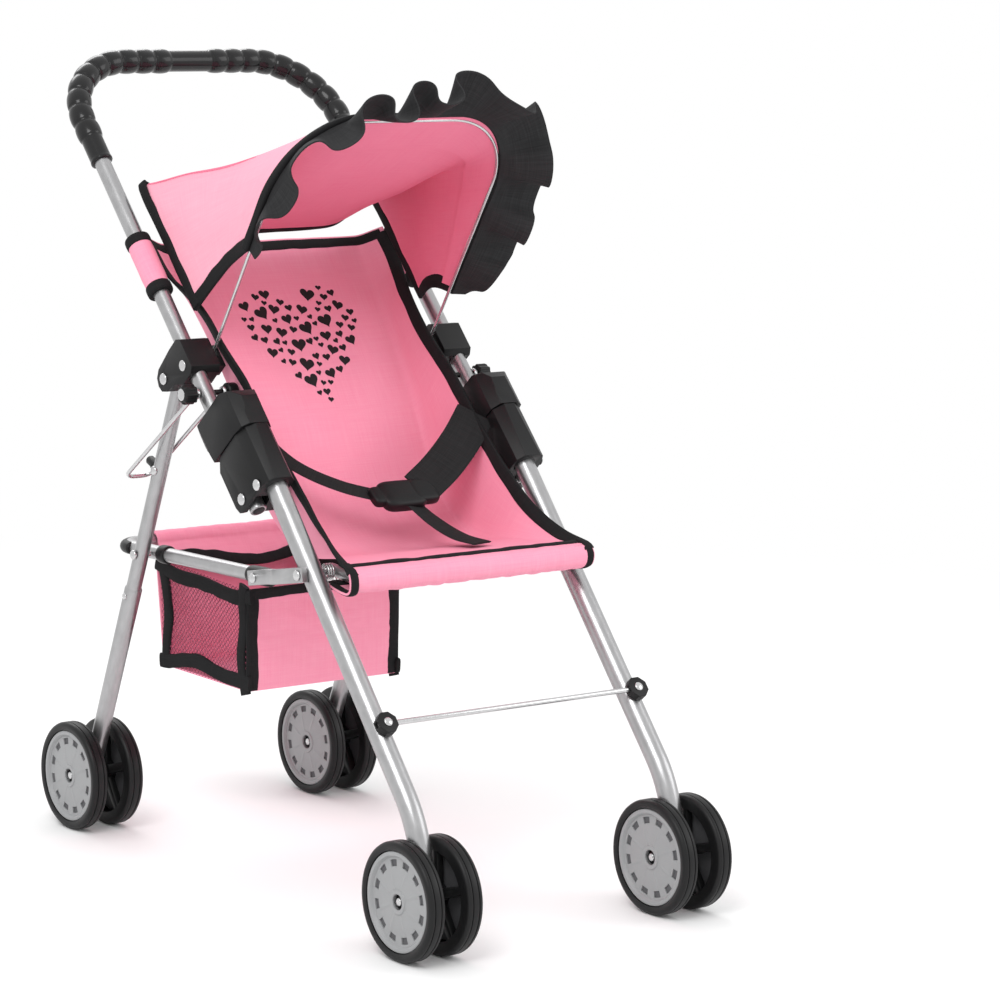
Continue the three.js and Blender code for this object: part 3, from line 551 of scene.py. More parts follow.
def soften(node, name, width, material, body):
    """A copy of a CAD solid with its flat faces merged and its edges rounded."""
    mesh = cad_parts[node].data.copy()
    work = bmesh.new()
    work.from_mesh(mesh)
    bmesh.ops.remove_doubles(work, verts=work.verts, dist=1e-6)
    bmesh.ops.dissolve_limit(work, angle_limit=math.radians(1.0), verts=work.verts, edges=work.edges)
    work.to_mesh(mesh)
    work.free()
    mesh.materials.clear()
    mesh.materials.append(material)
    for polygon in mesh.polygons:
        polygon.use_smooth = True
        polygon.material_index = 0
    obj = bpy.data.objects.new(name, mesh)
    bpy.context.scene.collection.objects.link(obj)
    bevel = obj.modifiers.new("edges", "BEVEL")
    bevel.width = width * 0.001
    bevel.segments = 3
    bevel.limit_method = "ANGLE"
    bevel.angle_limit = math.radians(32)
    bevel.harden_normals = True
    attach(obj, body)
    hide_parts(node)
    return obj


# ---- metal frame ----
X_UP = np.array([1.0, 0.0, 0.0])
Z_UP = np.array([0.0, 0.0, 1.0])


def dome(x_face, reach, radius, at, side=1.0, flange=0.35):
    """A low domed rivet head from x_face outward, as a profile turned about X."""
    a = np.linspace(0, math.pi / 2, 7)
    curve = [(radius * math.cos(t), flange + (reach - flange) * math.sin(t)) for t in a]
    profile = [(0.0, 0.0), (radius, 0.0)] + curve[:-1] + [(0.0, reach)]
    points, faces = lathe_x(profile, np.array([0.0, at[1], at[2]]), side, 28)
    return points + np.array([x_face, 0.0, 0.0]), faces


def bar_x(x0, x1, radius, at, material, piece, sides=24):
    path = vec(np.linspace(x0, x1, 3), at[1], at[2])
    points, faces, uv = tube(path, radius, Z_UP, sides, min(0.4, radius / 3))
    piece.add(points, faces, material, uv)


def front_legs():
    corner_s = (-AXLE_Y - HINGE_Y) / math.sin(LEG_TILT)
    for name, side in SIDES:
        x = side * TRACK_X
        path = rounded([on_leg(37, 0, x), on_leg(corner_s, 0, x), vec(x, -AXLE_Y, WHEEL_R - 9)], 90.0, 24)
        piece = Piece(f"leg_front_{name}")
        piece.add(*unpack(tube(resample(path, 6), LEG_R, X_UP, 32), STEEL))
        piece.make("frame", f"front_leg_{name}", slot="tube_steel")


def unpack(surface, material):
    """(points, faces[, uv]) with a material, in the order that Piece.add takes."""
    points, faces = surface[:2]
    return (points, faces, material) + tuple(surface[2:])


def cross_rod():
    at = on_leg(-205, -11.6, 0)
    piece = Piece("cross_rod")
    bar_x(-TRACK_X - 6, TRACK_X + 6, 2.0, at, CHROME, piece)
    piece.make("frame", "front_cross_rod", slot="tube_steel")
    forward = on_leg(0, -1, 0) - on_leg(0, 0, 0)
    for name, side in SIDES:
        soften(f"rod_clamp_{name}", f"clamp_{name}", 0.9, BLACK, "frame")
        centre = on_leg(-205, -14.8, side * TRACK_X)
        a = np.linspace(0, math.pi / 2, 6)
        head = Piece(f"clamp_rivet_{name}")
        radii = np.concatenate([[3.4], 3.4 * np.cos(a[:-1]), [0.2]])
        rise = np.concatenate([[0.0], 0.4 + 1.2 * np.sin(a)])
        path = centre + forward * rise[:, None]
        head.add(*unpack(sweep(path, X_UP, circle(radii, 24)), CHROME))
        head.make("frame", slot="rivet_steel")


def rivets():
    """Each CAD rivet becomes its shank and two domed heads, except the rail rivet, which gets its shank and
    outer head only.
    """
    rows = (
        ("handle_pivot_rivet", "frame", PIVOT, 99.3, 126.9, 4.4),
        ("rear_leg_rivet", "handle", REAR_PIVOT, 101.1, 126.5, 4.4),
        ("rail_rivet", "rear_legs", RAIL_PIN, 102.8, 118.0, 3.8),
        ("seat_pivot_pin", "seat_frame", SEAT_PIVOT, 85.2, 124.5, 3.9),
    )
    for node, body, at, x0, x1, radius in rows:
        for name, side in SIDES:
            piece = Piece(f"{node}_{name}_round")
            bar_x(side * (x0 + 0.1), side * (x1 - 0.1), 2.1, at, CHROME, piece)
            if node != "rail_rivet":
                piece.add(*dome(side * x0, 1.8, radius, at, -side), CHROME)
            piece.add(*dome(side * x1, 1.8, radius, at, side), CHROME)
            piece.make(body, f"{node}_{name}", slot="rivet_steel")
    for name, side in SIDES:
        piece = Piece(f"bracket_rivet_{name}")
        piece.add(*dome(side * 126.2, 1.6, 4.2, on_handle(119.5, 0.0, 0), side), CHROME)
        piece.make("handle", slot="rivet_steel")
        piece = Piece(f"housing_rivet_{name}")
        piece.add(*dome(side * 126.6, 1.6, 4.2, on_leg(0, 0, 0), side), CHROME)
        piece.make("frame", slot="rivet_steel")


def moulded_parts():
    for name, _ in SIDES:
        soften(f"hinge_housing_{name}", f"housing_{name}", 1.6, BLACK, "frame")
        soften(f"lock_cap_{name}", f"cap_{name}", 2.4, BLACK, f"lock_cap_{name}")
        soften(f"upper_bracket_{name}", f"bracket_{name}", 1.2, BLACK, "handle")


def knobs():
    """A lobed outer knob with a bright cap, and a plain inner one, on one pin."""
    a = np.arange(96) / 96 * 2 * math.pi
    for name, side in SIDES:
        piece = Piece(f"knob_{name}")
        bar_x(side * 93, side * 137, 2.1, KNOB, BLACK, piece)
        lobes = 7.0 + 0.5 * np.cos(8 * a)
        rows = [
            (0.0, 127.6), (0.9, 127.6), (1.0, 128.2), (1.0, 135.6), (0.93, 137.2), (0.7, 138.0), (0.0, 138.0)
        ]
        points = np.array(
            [vec(side * x, KNOB[1] + k * lobes * np.cos(a), KNOB[2] + k * lobes * np.sin(a)) for k, x in rows]
        )
        piece.add(points, grid_faces(len(rows), len(a), True), BLACK)
        inner = [(0.0, 0.0), (6.0, 0.0), (6.5, 0.8), (6.5, 7.2), (5.6, 8.2), (0.0, 8.2)]
        points, faces = lathe_x(inner, np.array([side * 92.0, KNOB[1], KNOB[2]]), side, 40)
        piece.add(points, faces, BLACK)
        piece.add(*dome(side * 138.0, 1.0, 4.4, KNOB, side), CHROME)
        piece.make("handle", f"knob_pin_{name}", slot="black_plastic")


def handle_path(start):
    corners = [
        on_handle(start, 0, -HANDLE_X), on_handle(HANDLE_TOP, 0, -HANDLE_X),
        on_handle(HANDLE_TOP, 0, HANDLE_X), on_handle(start, 0, HANDLE_X),
    ]
    return rounded(corners, HANDLE_BEND_R, 30)


def push_handle():
    bar = Piece("handle_tube")
    bar.add(*unpack(tube(resample(handle_path(-11.0), 4), HANDLE_R, BACK_M, 32), STEEL))
    bar.make("handle", "push_handle", slot="tube_steel")
    for name, side in SIDES:
        plug = Piece(f"tube_mouth_{name}")
        path = on_handle(np.array([-11.3, -10.9, -10.7]), 0.0, side * HANDLE_X)
        plug.add(*unpack(tube(path, 4.6, X_UP, 24, 0.05), BLACK))
        plug.make("handle", slot="black_plastic")

    # Radius along the sleeve: cuff, then ten rings each side of a smooth middle.
    path = resample(handle_path(310.0), 0.75)
    at = np.concatenate([[0], np.cumsum(np.linalg.norm(np.diff(path, axis=0), axis=1))])
    from_middle = np.abs(at - at[-1] / 2)
    ring = (from_middle - 25.8) / 15.0
    nearest = np.clip(np.round(ring), 0, 9)
    hump = np.clip(1 - ((ring - nearest) / 0.45) ** 2, 0, 1) ** 0.5
    radius = 8.2 + 1.4 * hump
    radius += 0.35 * np.exp(-(((from_middle - (at[-1] / 2 - 1.5)) / 1.2) ** 2))
    sleeve = Piece("grip_sleeve")
    sleeve.add(*unpack(tube(path, radius, BACK_M, 36, 1.0), GRIP))
    sleeve.make("handle", "handle_grip", slot="grip_black")


def bails():
    tilt = math.radians(-36.8)
    direction = np.array([0.0, math.cos(tilt), math.sin(tilt)])
    across = np.array([0.0, -math.sin(tilt), math.cos(tilt)])
    for name, side in SIDES:
        at = lambda x, reach: KNOB + direction * reach + np.array([side * x, 0.0, 0.0])
        path = rounded([at(102.4, 3.6), at(102.4, 124), at(125.5, 124), at(125.5, 3.6)], 8.0, 10)
        piece = Piece(f"wire_loop_{name}")
        piece.add(*unpack(tube(resample(path, 3), 1.6, across, 16, 0.3), CHROME))
        turn = np.linspace(0, 2 * math.pi, 41)[:-1]
        for x in (102.4, 125.5):
            eye = KNOB + vec(side * x, 3.4 * np.cos(turn), 3.4 * np.sin(turn))
            tangent = vec(0.0, -np.sin(turn), np.cos(turn))
            outward = np.cross(tangent, X_UP)
            ring = circle(0.9, 12)
            points = eye[:, None] + outward[:, None] * ring[None, :, :1] + X_UP * 1.7 * ring[None, :, 1:]
            faces = grid_faces(len(turn), 12, True)
            last = (len(turn) - 1) * 12 + np.arange(12)
            nxt = np.roll(np.arange(12), -1)
            join = np.stack([last, np.arange(12), nxt, (len(turn) - 1) * 12 + nxt], 1)
            piece.add(points, [faces, join], CHROME)
        piece.make(f"bail_{name}", f"bail_{name}", slot="tube_steel")


def rear_legs():
    length = float(np.linalg.norm(REAR_AXLE - REAR_PIVOT))
    behind = np.array([0.0, -REAR_DIR[2], REAR_DIR[1]])
    for name, side in SIDES:
        x = np.array([side * TRACK_X, 0.0, 0.0])
        at = np.array([-7, 0, 60, 120, 179.5, 180.2, 181.0, 181.6, 240, 300, length + 8.0])
        radius = np.array([5.75, 5.75, 5.75, 5.75, 5.75, 5.9, 6.5, 6.7, 6.7, 6.7, 6.7])
        piece = Piece(f"leg_rear_{name}")
        piece.add(*unpack(tube(REAR_PIVOT + x + REAR_DIR * at[:, None], radius, X_UP, 32), STEEL))
        button = REAR_PIVOT + REAR_DIR * 187.5
        piece.add(*dome(side * (TRACK_X + 6.4), 1.5, 2.6, button, side), CHROME)
        bolt = REAR_PIVOT + REAR_DIR * 78.0
        piece.add(*dome(side * (TRACK_X + 5.3), 2.4, 3.6, bolt, side), CHROME)
        piece.make("rear_legs", f"rear_leg_{name}", slot="tube_steel")
        stop = Piece(f"leg_stop_{name}")
        centre = REAR_PIVOT + x + REAR_DIR * 78.0
        path = centre + behind * np.array([4.4, 7.0, 10.0, 15.6, 17.0])[:, None]
        stop.add(*unpack(tube(path, np.array([4.6, 4.6, 3.6, 3.6, 3.0]), X_UP, 24, 0.5), BLACK))
        stop.make("rear_legs", slot="black_plastic")


def rear_rail():
    end = KNEE + np.array([0.0, -8.0, 0.3])
    corners = [
        end - [RAIL_X, 0, 0], RAIL_BACK - [RAIL_X, 0, 0], RAIL_BACK + [RAIL_X, 0, 0], end + [RAIL_X, 0, 0]
    ]
    rail = Piece("rail_tube")
    rail.add(*unpack(tube(resample(rounded(corners, 20.0, 16), 4), RAIL_R, Z_UP, 32), STEEL))
    rail.make("rear_rail", "rear_rail", slot="tube_steel")
    slope = unit(RAIL_BACK - KNEE)
    for name, side in SIDES:
        collar = Piece(f"rail_collar_{name}")
        x = np.array([side * RAIL_X, 0.0, 0.0])
        path = KNEE + x + slope * np.array([131.0, 133.0, 137.0, 141.0])[:, None]
        collar.add(*unpack(tube(path, np.array([6.9, 7.1, 7.1, 6.9]), X_UP, 32, 0.8), BLACK))
        path = KNEE + x + slope * np.array([-9.0, -4.0, 8.0, 18.0])[:, None]
        collar.add(*unpack(tube(path, np.array([6.6, 6.9, 6.9, 6.5]), X_UP, 32, 1.2), BLACK))
        collar.make("rear_rail", slot="black_plastic")
        head = Piece(f"knee_rivet_{name}")
        head.add(*dome(side * 107.9, 1.6, 4.0, KNEE, side), CHROME)
        head.make("seat_frame", slot="rivet_steel")


def seat_frame():
    for name, _ in SIDES:
        soften(f"front_link_{name}", f"link_{name}", 1.2, STEEL, "seat_frame")
    end = SEAT_PIVOT + np.array([0.0, 8.0, 0.5])
    bar = np.array([0.0, -116.0, 243.0])
    out = np.array([90.0, 0.0, 0.0])
    path = rounded([end - out, bar - out, bar + out, end + out], 12.0, 12)
    piece = Piece("seat_bar_tube")
    piece.add(*unpack(tube(resample(path, 4), 4.5, Z_UP, 28), STEEL))
    piece.make("seat_frame", "seat_bar", slot="tube_steel")


def springs():
    turns, wire, x0, x1 = 3, 0.8, 95.7, 101.9
    for name, side in SIDES:
        a = np.linspace(0, turns * 2 * math.pi, turns * 28)
        x = x0 + (x1 - x0) * a / a[-1]
        coil = vec(side * x, SEAT_PIVOT[1] + 5.6 * np.cos(a + 0.6), SEAT_PIVOT[2] + 5.6 * np.sin(a + 0.6))
        tail = vec(side * x1, SEAT_PIVOT[1] + 24.0, SEAT_PIVOT[2] + 21.0)
        piece = Piece(f"spring_{name}")
        piece.add(*unpack(tube(np.concatenate([coil, [tail]]), wire, X_UP, 10, 0.2), CHROME))
        piece.make("frame", f"torsion_spring_{name}", slot="rivet_steel")


def bow():
    top = [
        on_bow(-BOW_X, BOW_PIVOT[2]), on_bow(-BOW_X, BOW_TOP_Z),
        on_bow(BOW_X, BOW_TOP_Z), on_bow(BOW_X, BOW_PIVOT[2]),
    ]
    foot = np.array([BOW_X + 5, 0, 0])
    arch_wire = resample(rounded(top, BOW_BEND_R, 24), 4)
    path = np.concatenate([[BOW_PIVOT - foot], arch_wire, [BOW_PIVOT + foot]])
    normal = unit(np.array([0.0, 1.0, BOW_LEAN]))
    piece = Piece("bow_wire")
    piece.add(*unpack(tube(path, 1.3, normal, 12, 0.2), CHROME))
    piece.make("canopy", "canopy_bow", slot="tube_steel")


# ---- wheels ----
def wheel_pair():
    tread = [
        (32.2, 9.4), (38.8, 9.4), (40.6, 9.8), (41.6, 10.8), (42.0, 12.2), (41.9, 12.9), (41.2, 13.1),
        (41.2, 13.5),
        (41.9, 13.7), (42.0, 14.2), (42.0, 17.6), (41.9, 18.1), (41.2, 18.3), (41.2, 18.7), (41.9, 18.9),
        (42.0, 19.6), (41.5, 21.0), (40.4, 22.0), (39.2, 22.4), (37.2, 22.3), (35.6, 21.7), (35.5, 21.2),
        (35.5, 17.8), (32.2, 17.8), (32.2, 9.4),
    ]
    hub = [(3.3, 9.4), (8.2, 9.4), (8.6, 9.8), (8.6, 16.6), (8.2, 17.0), (3.3, 17.0), (3.3, 9.4)]
    for name, sx, sy in PAIRS:
        body = "frame" if sy < 0 else "rear_legs"
        at = np.array([sx * TRACK_X, sy * AXLE_Y, WHEEL_R])
        axle = Piece(f"axle_pin_{name}")
        bar_x(at[0] - 19, at[0] + 19, 3.0, at, STEEL, axle)
        for end in (-1, 1):
            axle.add(*dome(at[0] + end * 19.0, 1.4, 2.9, at, end), CHROME)
        axle.make(body, f"axle_{name}", slot="tube_steel")
        for which, side in (("a", -1), ("b", 1)):
            wheel = Piece(f"tyre_{name}_{which}")
            wheel.add(*lathe_x(tread, at, side, 96), TYRE)
            wheel.add(*lathe_x(hub, at, side, 40), TYRE)
            for k in range(5):
                wheel.add(*spoke(at, side, k / 5 * 2 * math.pi + 0.3), TYRE)
            wheel.make(f"wheel_{name}_{which}", f"wheel_{name}_{which}", slot="tyre_black")
            disc = Piece(f"cover_{name}_{which}")
            disc.add(*cover(at, side), DISC)
            # painted shade: a thin dark disc just behind the cover, seen only through its wedge holes
            back = [(5.5, 18.0), (31.6, 18.0), (31.6, 17.4), (5.5, 17.4), (5.5, 18.0)]
            disc.add(*lathe_x(back, at, side, 60), DISC_PAINTED_SHADE)
            disc.make(f"wheel_{name}_{which}", f"disc_{name}_{which}", slot="disc_grey", sharp=28.0)


def spoke(at, side, angle):
    """A flat spoke from hub to rim, wider at the hub."""
    radial = np.array([0.0, math.cos(angle), math.sin(angle)])
    path = at + np.array([side * 13.0, 0.0, 0.0]) + radial * np.linspace(7.5, 33.0, 6)[:, None]
    half = np.linspace(4.2, 3.0, 6)[:, None]
    a = np.arange(12) / 12 * 2 * math.pi + 0.2
    shape = np.stack([squared(np.sin(a), 0.4), squared(np.cos(a), 0.4)], 1)
    section = shape[None] * np.stack([half + 0 * half, 3.0 + 0 * half], 2).reshape(6, 1, 2)
    points, faces, _ = sweep(path, X_UP, section)
    return points, faces


def cover(at, side):
    """A dished cover: radius and height rings with a raised lip, radial creases, and twelve wedge holes."""
    per_hole = 16
    columns = 12 * per_hole
    rings = np.array([
        (5.5, 17.8), (5.5, 20.6), (6.0, 21.0), (8.4, 21.0), (9.0, 20.2), (13.0, 20.0), (17.0, 19.8),
        (20.6, 19.6), (21.8, 19.4), (24.5, 19.1), (29.3, 19.0), (30.6, 19.2), (31.6, 20.9), (32.2, 21.5),
        (33.8, 21.6), (34.8, 21.2),
        (35.2, 20.4), (35.2, 18.4),
    ])
    a = np.arange(columns) / columns * 2 * math.pi
    radius, x = rings[:, :1] + 0 * a, rings[:, 1:] + 0 * a
    crease = np.abs(((a * 8 / (2 * math.pi)) % 1.0) - 0.5) * (2 * math.pi / 8) * radius
    x = x + np.where((radius > 9.5) & (radius < 22), 0.45 * np.exp(-((crease / 1.1) ** 2)), 0)
    front = vec(at[0] + side * x, at[1] + radius * np.cos(a), at[2] + radius * np.sin(a))
    ring_cell = np.arange(len(rings) - 1)[:, None]
    column_cell = np.arange(columns)[None] % per_hole
    hole = (ring_cell == 9) & (column_cell >= 4) & (column_cell < 12)
    back = front - np.array([side * 1.0, 0.0, 0.0])
    # the back follows the front 1 mm behind, and meets it at both ends
    back[0], back[-1] = front[0], front[-1]
    n = len(rings)
    ids = np.arange(n * columns).reshape(n, columns)
    faces = grid_faces(n, columns, True).reshape(n - 1, columns, 4)
    kept = faces[~hole]
    walls = []
    count = n * columns
    for j in np.nonzero(hole[9])[0]:
        k = (j + 1) % columns
        walls += [[ids[9, j], ids[9, k], ids[9, k] + count, ids[9, j] + count]]
        walls += [[ids[10, k], ids[10, j], ids[10, j] + count, ids[10, k] + count]]
        if not hole[9, j - 1]:
            walls += [[ids[10, j], ids[9, j], ids[9, j] + count, ids[10, j] + count]]
        if not hole[9, k]:
            walls += [[ids[9, k], ids[10, k], ids[10, k] + count, ids[9, k] + count]]
    points = np.concatenate([front.reshape(-1, 3), back.reshape(-1, 3)])
    return points, [kept, kept[:, ::-1] + count, np.array(walls)]


# ---- seat ----
# (y, z, half width) down the seat: its side edges, its base corners, and the roll under its front.
SEAT_EDGE = [
    (148.0, 466.0, 108.0), (122.0, 440.0, 106.0), (92, 418, 95), (64, 392, 92.5), (28, 363, 92),
    (-2, 332, 92.5),
    (-40, 298, 93), (-72, 274, 96), (-100, 260, 102), (-119, 254.5, 107),
]
SEAT_BASE = [
    (157, 458.5, 90), (112, 406, 84), (62, 340, 81), (22, 272, 80), (-16, 249, 80), (-70, 252, 82),
    (-104, 253.6, 95),
    (-119, 253.8, 105),
]
ROLL = [
    (-122.5, 252.6, 108), (-125.0, 249.0, 108.5), (-125.6, 244.5, 108.5), (-124.4, 240.2, 108),
    (-120.5, 237.4, 107),
    (-113, 236.6, 106), (-102, 237.4, 105), (-92, 239.0, 104),
]


def in_row_frame(rows):
    """(y, z, x) rows as (x, y, z)."""
    rows = np.asarray(rows, float)
    return rows[:, [2, 0, 1]]


def seat_point(u, v):
    """Across: edge, base corner, base corner, edge, joined by straight lines and rounded by averaging
    five neighbours. u runs -1..1, with the base corners at +-0.8; v runs down the seat."""
    edge = spline(in_row_frame(SEAT_EDGE), v)
    base = spline(in_row_frame(SEAT_BASE), v)
    total = 0
    for shift in (-0.04, -0.02, 0.0, 0.02, 0.04):
        w = np.clip(np.abs(u) * 1.0 + shift * (np.abs(u) < 0.96), 0, 1)
        side = np.clip((w - 0.8) / 0.2, 0, 1)
        x = np.minimum(w / 0.8, 1.0) * base[..., 0] * (1 - side) + side * edge[..., 0]
        yz = base[..., 1:] * (1 - side)[..., None] + edge[..., 1:] * side[..., None]
        total = total + np.concatenate([x[..., None], yz], -1)
    point = total / 5
    middle = np.clip(1 - (np.abs(u) / 0.8) ** 2, 0, 1)
    sag = middle * np.sin(math.pi * np.clip(v, 0, 1)) * 4.0
    point[..., 0] *= np.where(u < 0, -1.0, 1.0)
    point[..., 1] += sag * np.where(v < 0.55, 0.8, 0.1)
    point[..., 2] -= sag * np.where(v < 0.55, 0.5, 0.9)
    return point


def seat_grid():
    u, v = np.meshgrid(np.linspace(-1, 1, 121), np.linspace(0, 1, 150))
    grid = seat_point(u, v)
    roll = spline(in_row_frame(ROLL), np.linspace(0, 1, 26))
    across = np.linspace(-1, 1, 121)
    extra = roll[:, None] * np.array([0.0, 1.0, 1.0]) + roll[:, None, :1] * across[None, :, None] * X_UP
    grid = np.concatenate([grid, extra])
    rows, columns = np.meshgrid(np.linspace(0, 1.15, len(grid)), across, indexing="ij")
    calm = np.clip(1.15 - rows, 0.15, 1)
    push = 0.9 * ripples(columns * 1.2, rows * 1.6, 3) * calm
    push += 0.8 * ripples(columns * 5, rows * 0.8, 4, 1.0, 3.0) * np.exp(-(((rows - 1.03) / 0.05) ** 2))
    return grid + surface_normal(grid) * push[..., None]


def seat():
    grid = seat_grid()
    sling = Piece("seat_cloth")
    sling.add(*unpack(cloth(grid, 1.6), PINK))
    body = sling.make(SEAT_CLOTH, "seat_sling", slot="pink_cloth", sharp=60)

    trim = Piece("seat_binding")
    for column, inner in ((0, 4), (-1, -5)):
        edge = resample(grid[2:152, column], 3)
        inside = resample(grid[2:152, inner], 3)
        inside = inside[np.linspace(0, len(inside) - 1, len(edge)).astype(int)]
        trim.add(*unpack(tape(edge, inside - edge, 10.0, 3.2, 0.10, 11 + column), TAPE))
    across = resample(grid[1, 2:-2], 3)
    down = grid[8, 60] - grid[1, 60]
    trim.add(*unpack(tape(across, down, 9.0, 3.2, 0.08, 14), TAPE))
    row = resample(grid[147, 1:-1] + np.array([0.0, 0.0, 0.6]), 3)
    trim.add(*unpack(tape(row, np.array([0.0, 1.0, 0.0]), 8.0, 3.4, 0.16, 15), TAPE))
    row = resample(grid[-1, 3:-3], 3)
    trim.add(*unpack(tape(row, np.array([0.0, -1.0, -0.1]), 8.0, 3.0, 0.12, 16), TAPE))
    for column in (1, -2):
        end = resample(grid[146:-1, column], 1.5)
        side = np.array([1.0 if column > 0 else -1.0, 0.0, 0.0])
        trim.add(*unpack(tape(end, side, 6.5, 3.4, 0.05, 17), TAPE))
    trim.make(SEAT_CLOTH, slot="black_webbing", sharp=60)

    cuffs = Piece("seat_sleeves")
    cuff_trim = Piece("seat_sleeve_binding")
    for _, side in SIDES:
        t = np.linspace(186, 236, 34)
        bulge = 8.6 + 0.7 * np.sin((t - 186) / 50 * math.pi) + 0.25 * ripples(t / 30, 0 * t + side, 21, 1, 4)
        a = np.arange(40) / 40 * 2 * math.pi
        section = np.stack([bulge[:, None] * np.cos(a), bulge[:, None] * np.sin(a)], -1)
        path = on_handle(t, 0.0, side * HANDLE_X)
        points, faces, uv = sweep(path, X_UP, section)
        cuffs.add(points, faces, PINK, uv)
        for t0 in (185.0, 229.0):
            path = on_handle(np.linspace(t0, t0 + 8, 8), 0.0, side * HANDLE_X)
            width = 9.6 + 0.3 * np.sin(np.linspace(0, math.pi, 8))
            cuff_trim.add(*unpack(tube(path, width, X_UP, 40, 1.0), TAPE))
    fold = cuffs.make("handle", slot="pink_cloth", sharp=60)
    cuff_trim.make("handle", slot="black_webbing", sharp=60)
    hearts(grid)


def hearts(grid):
    """Small hearts inside one large heart: x = 16 sin^3 t, y = 13 cos t - 5 cos 2t - 2 cos 3t - cos 4t."""
    t = np.linspace(0, 2 * math.pi, 41)[:-1]
    outline = np.stack([
        16 * np.sin(t) ** 3, 13 * np.cos(t) - 5 * np.cos(2 * t) - 2 * np.cos(3 * t) - np.cos(4 * t)
    ], 1) / 16.0
    random = np.random.default_rng(12)
    width, height, drop = 50.0, 58.0, 89.0
    placed = []
    big = outline * [width, height]
    for size in [6.2] * 7 + [4.7] * 14 + [3.3] * 26 + [2.4] * 34:
        for _ in range(160):
            at = random.uniform(-1, 1, 2) * [width, height * 1.15]
            if not inside(at, big, size * 0.7):
                continue
            if all(np.hypot(*(at - p)) > (size + s) * 1.02 + 1.0 for p, s, _ in placed):
                placed.append((at, size, random.uniform(-0.45, 0.45)))
                break
    normal = surface_normal(grid)
    if normal[40, 60, 1] > 0:
        normal = -normal
    down = np.concatenate([[0], np.cumsum(np.linalg.norm(np.diff(grid[:, 60], axis=0), axis=1))])
    piece = Piece("hearts")
    rings = np.linspace(0, 1, 5)[1:]
    for at, size, angle in placed:
        c, q = math.cos(angle), math.sin(angle)
        turned = outline @ np.array([[c, q], [-q, c]]) * size
        flat = np.concatenate([[[0.0, 0.0]], (rings[:, None, None] * turned).reshape(-1, 2)]) + at
        across = flat[:, 0] + 5.0
        depth = drop - flat[:, 1]
        row = np.interp(depth, down, np.arange(len(down)))
        points = on_grid(grid, row, across)
        lift = on_grid_normal(grid, normal, row, across)
        front = points + lift * 1.0
        k = np.arange(40)
        nxt = np.roll(k, -1)
        fan = np.stack([np.zeros(40, int), 1 + k, 1 + nxt], 1)
        quads = np.concatenate([
            np.stack([1 + r * 40 + k, 1 + (r + 1) * 40 + k, 1 + (r + 1) * 40 + nxt, 1 + r * 40 + nxt], 1)
            for r in range(len(rings) - 1)
        ])
        m = len(points)
        rim = 1 + (len(rings) - 1) * 40
        wall = np.stack([rim + k, rim + k + m, rim + nxt + m, rim + nxt], 1)
        faces = [fan, quads, fan[:, ::-1] + m, quads[:, ::-1] + m, wall]
        piece.add(np.concatenate([front, points + lift * 0.4]), faces, INK)
    piece.make(SEAT_CLOTH, slot="black_webbing")


def inside(point, outline, margin):
    """True if the point lies in the outline and at least margin from it."""
    nxt = np.roll(outline, -1, axis=0)
    crosses = (outline[:, 1] > point[1]) != (nxt[:, 1] > point[1])
    slope = (nxt[:, 0] - outline[:, 0]) / np.where(crosses, nxt[:, 1] - outline[:, 1], 1)
    odd = np.sum(crosses & (point[0] < slope * (point[1] - outline[:, 1]) + outline[:, 0])) % 2 == 1
    return odd and np.min(np.linalg.norm(outline - point, axis=1)) > margin


def grid_weights(grid, row, x):
    """Row and column positions on the grid for a row number and an x."""
    i = np.clip(row.astype(int), 0, len(grid) - 2)
    fi = row - i
    columns = np.arange(grid.shape[1])
    line = grid[i, :, 0] * (1 - fi)[:, None] + grid[i + 1, :, 0] * fi[:, None]
    j = np.array([np.interp(value, xs, columns) for value, xs in zip(x, line)])
    jj = np.clip(j.astype(int), 0, grid.shape[1] - 2)
    return i, fi[:, None], jj, (j - jj)[:, None]


def blend_at(values, i, fi, j, fj):
    top = values[i, j] * (1 - fj) + values[i, j + 1] * fj
    low = values[i + 1, j] * (1 - fj) + values[i + 1, j + 1] * fj
    return top * (1 - fi) + low * fi


def on_grid(grid, row, x):
    return blend_at(grid, *grid_weights(grid, row, x))


def on_grid_normal(grid, normal, row, x):
    return unit(blend_at(normal, *grid_weights(grid, row, x)))


# ---- hood ----
HOOD_TOP_Z = 564.0
HOOD_X = BOW_X + 3.5
FEET_Z = (466.0, 424.0)
HOOD_BACK = (162.0, 290.0)
BACK_SAG = 58.0


def arch(u, half, radius, low_left, low_right, top):
    """(x, height) round an arch: up the left side, over the top and down the right side, with u from 0 to 1
    by length."""
    left, right = top - radius - low_left, top - radius - low_right
    arc, flat = radius * math.pi / 2, 2 * (half - radius)
    d = u * (left + arc + flat + arc + right)
    a1 = np.clip((d - left) / radius, 0, math.pi / 2)
    a2 = np.clip((d - left - arc - flat) / radius, 0, math.pi / 2)
    x = -half + radius * (1 - np.cos(a1)) + np.clip(d - left - arc, 0, flat) + radius * np.sin(a2)
    z = low_left + np.clip(d, 0, left) + radius * np.sin(a1) - radius * (1 - np.cos(a2))
    z = z - np.clip(d - left - arc - flat - arc, 0, None)
    return x, z


def hood_front(u):
    x, z = arch(u, HOOD_X, BOW_BEND_R, FEET_Z[0], FEET_Z[1], HOOD_TOP_Z)
    return on_bow(x, z)


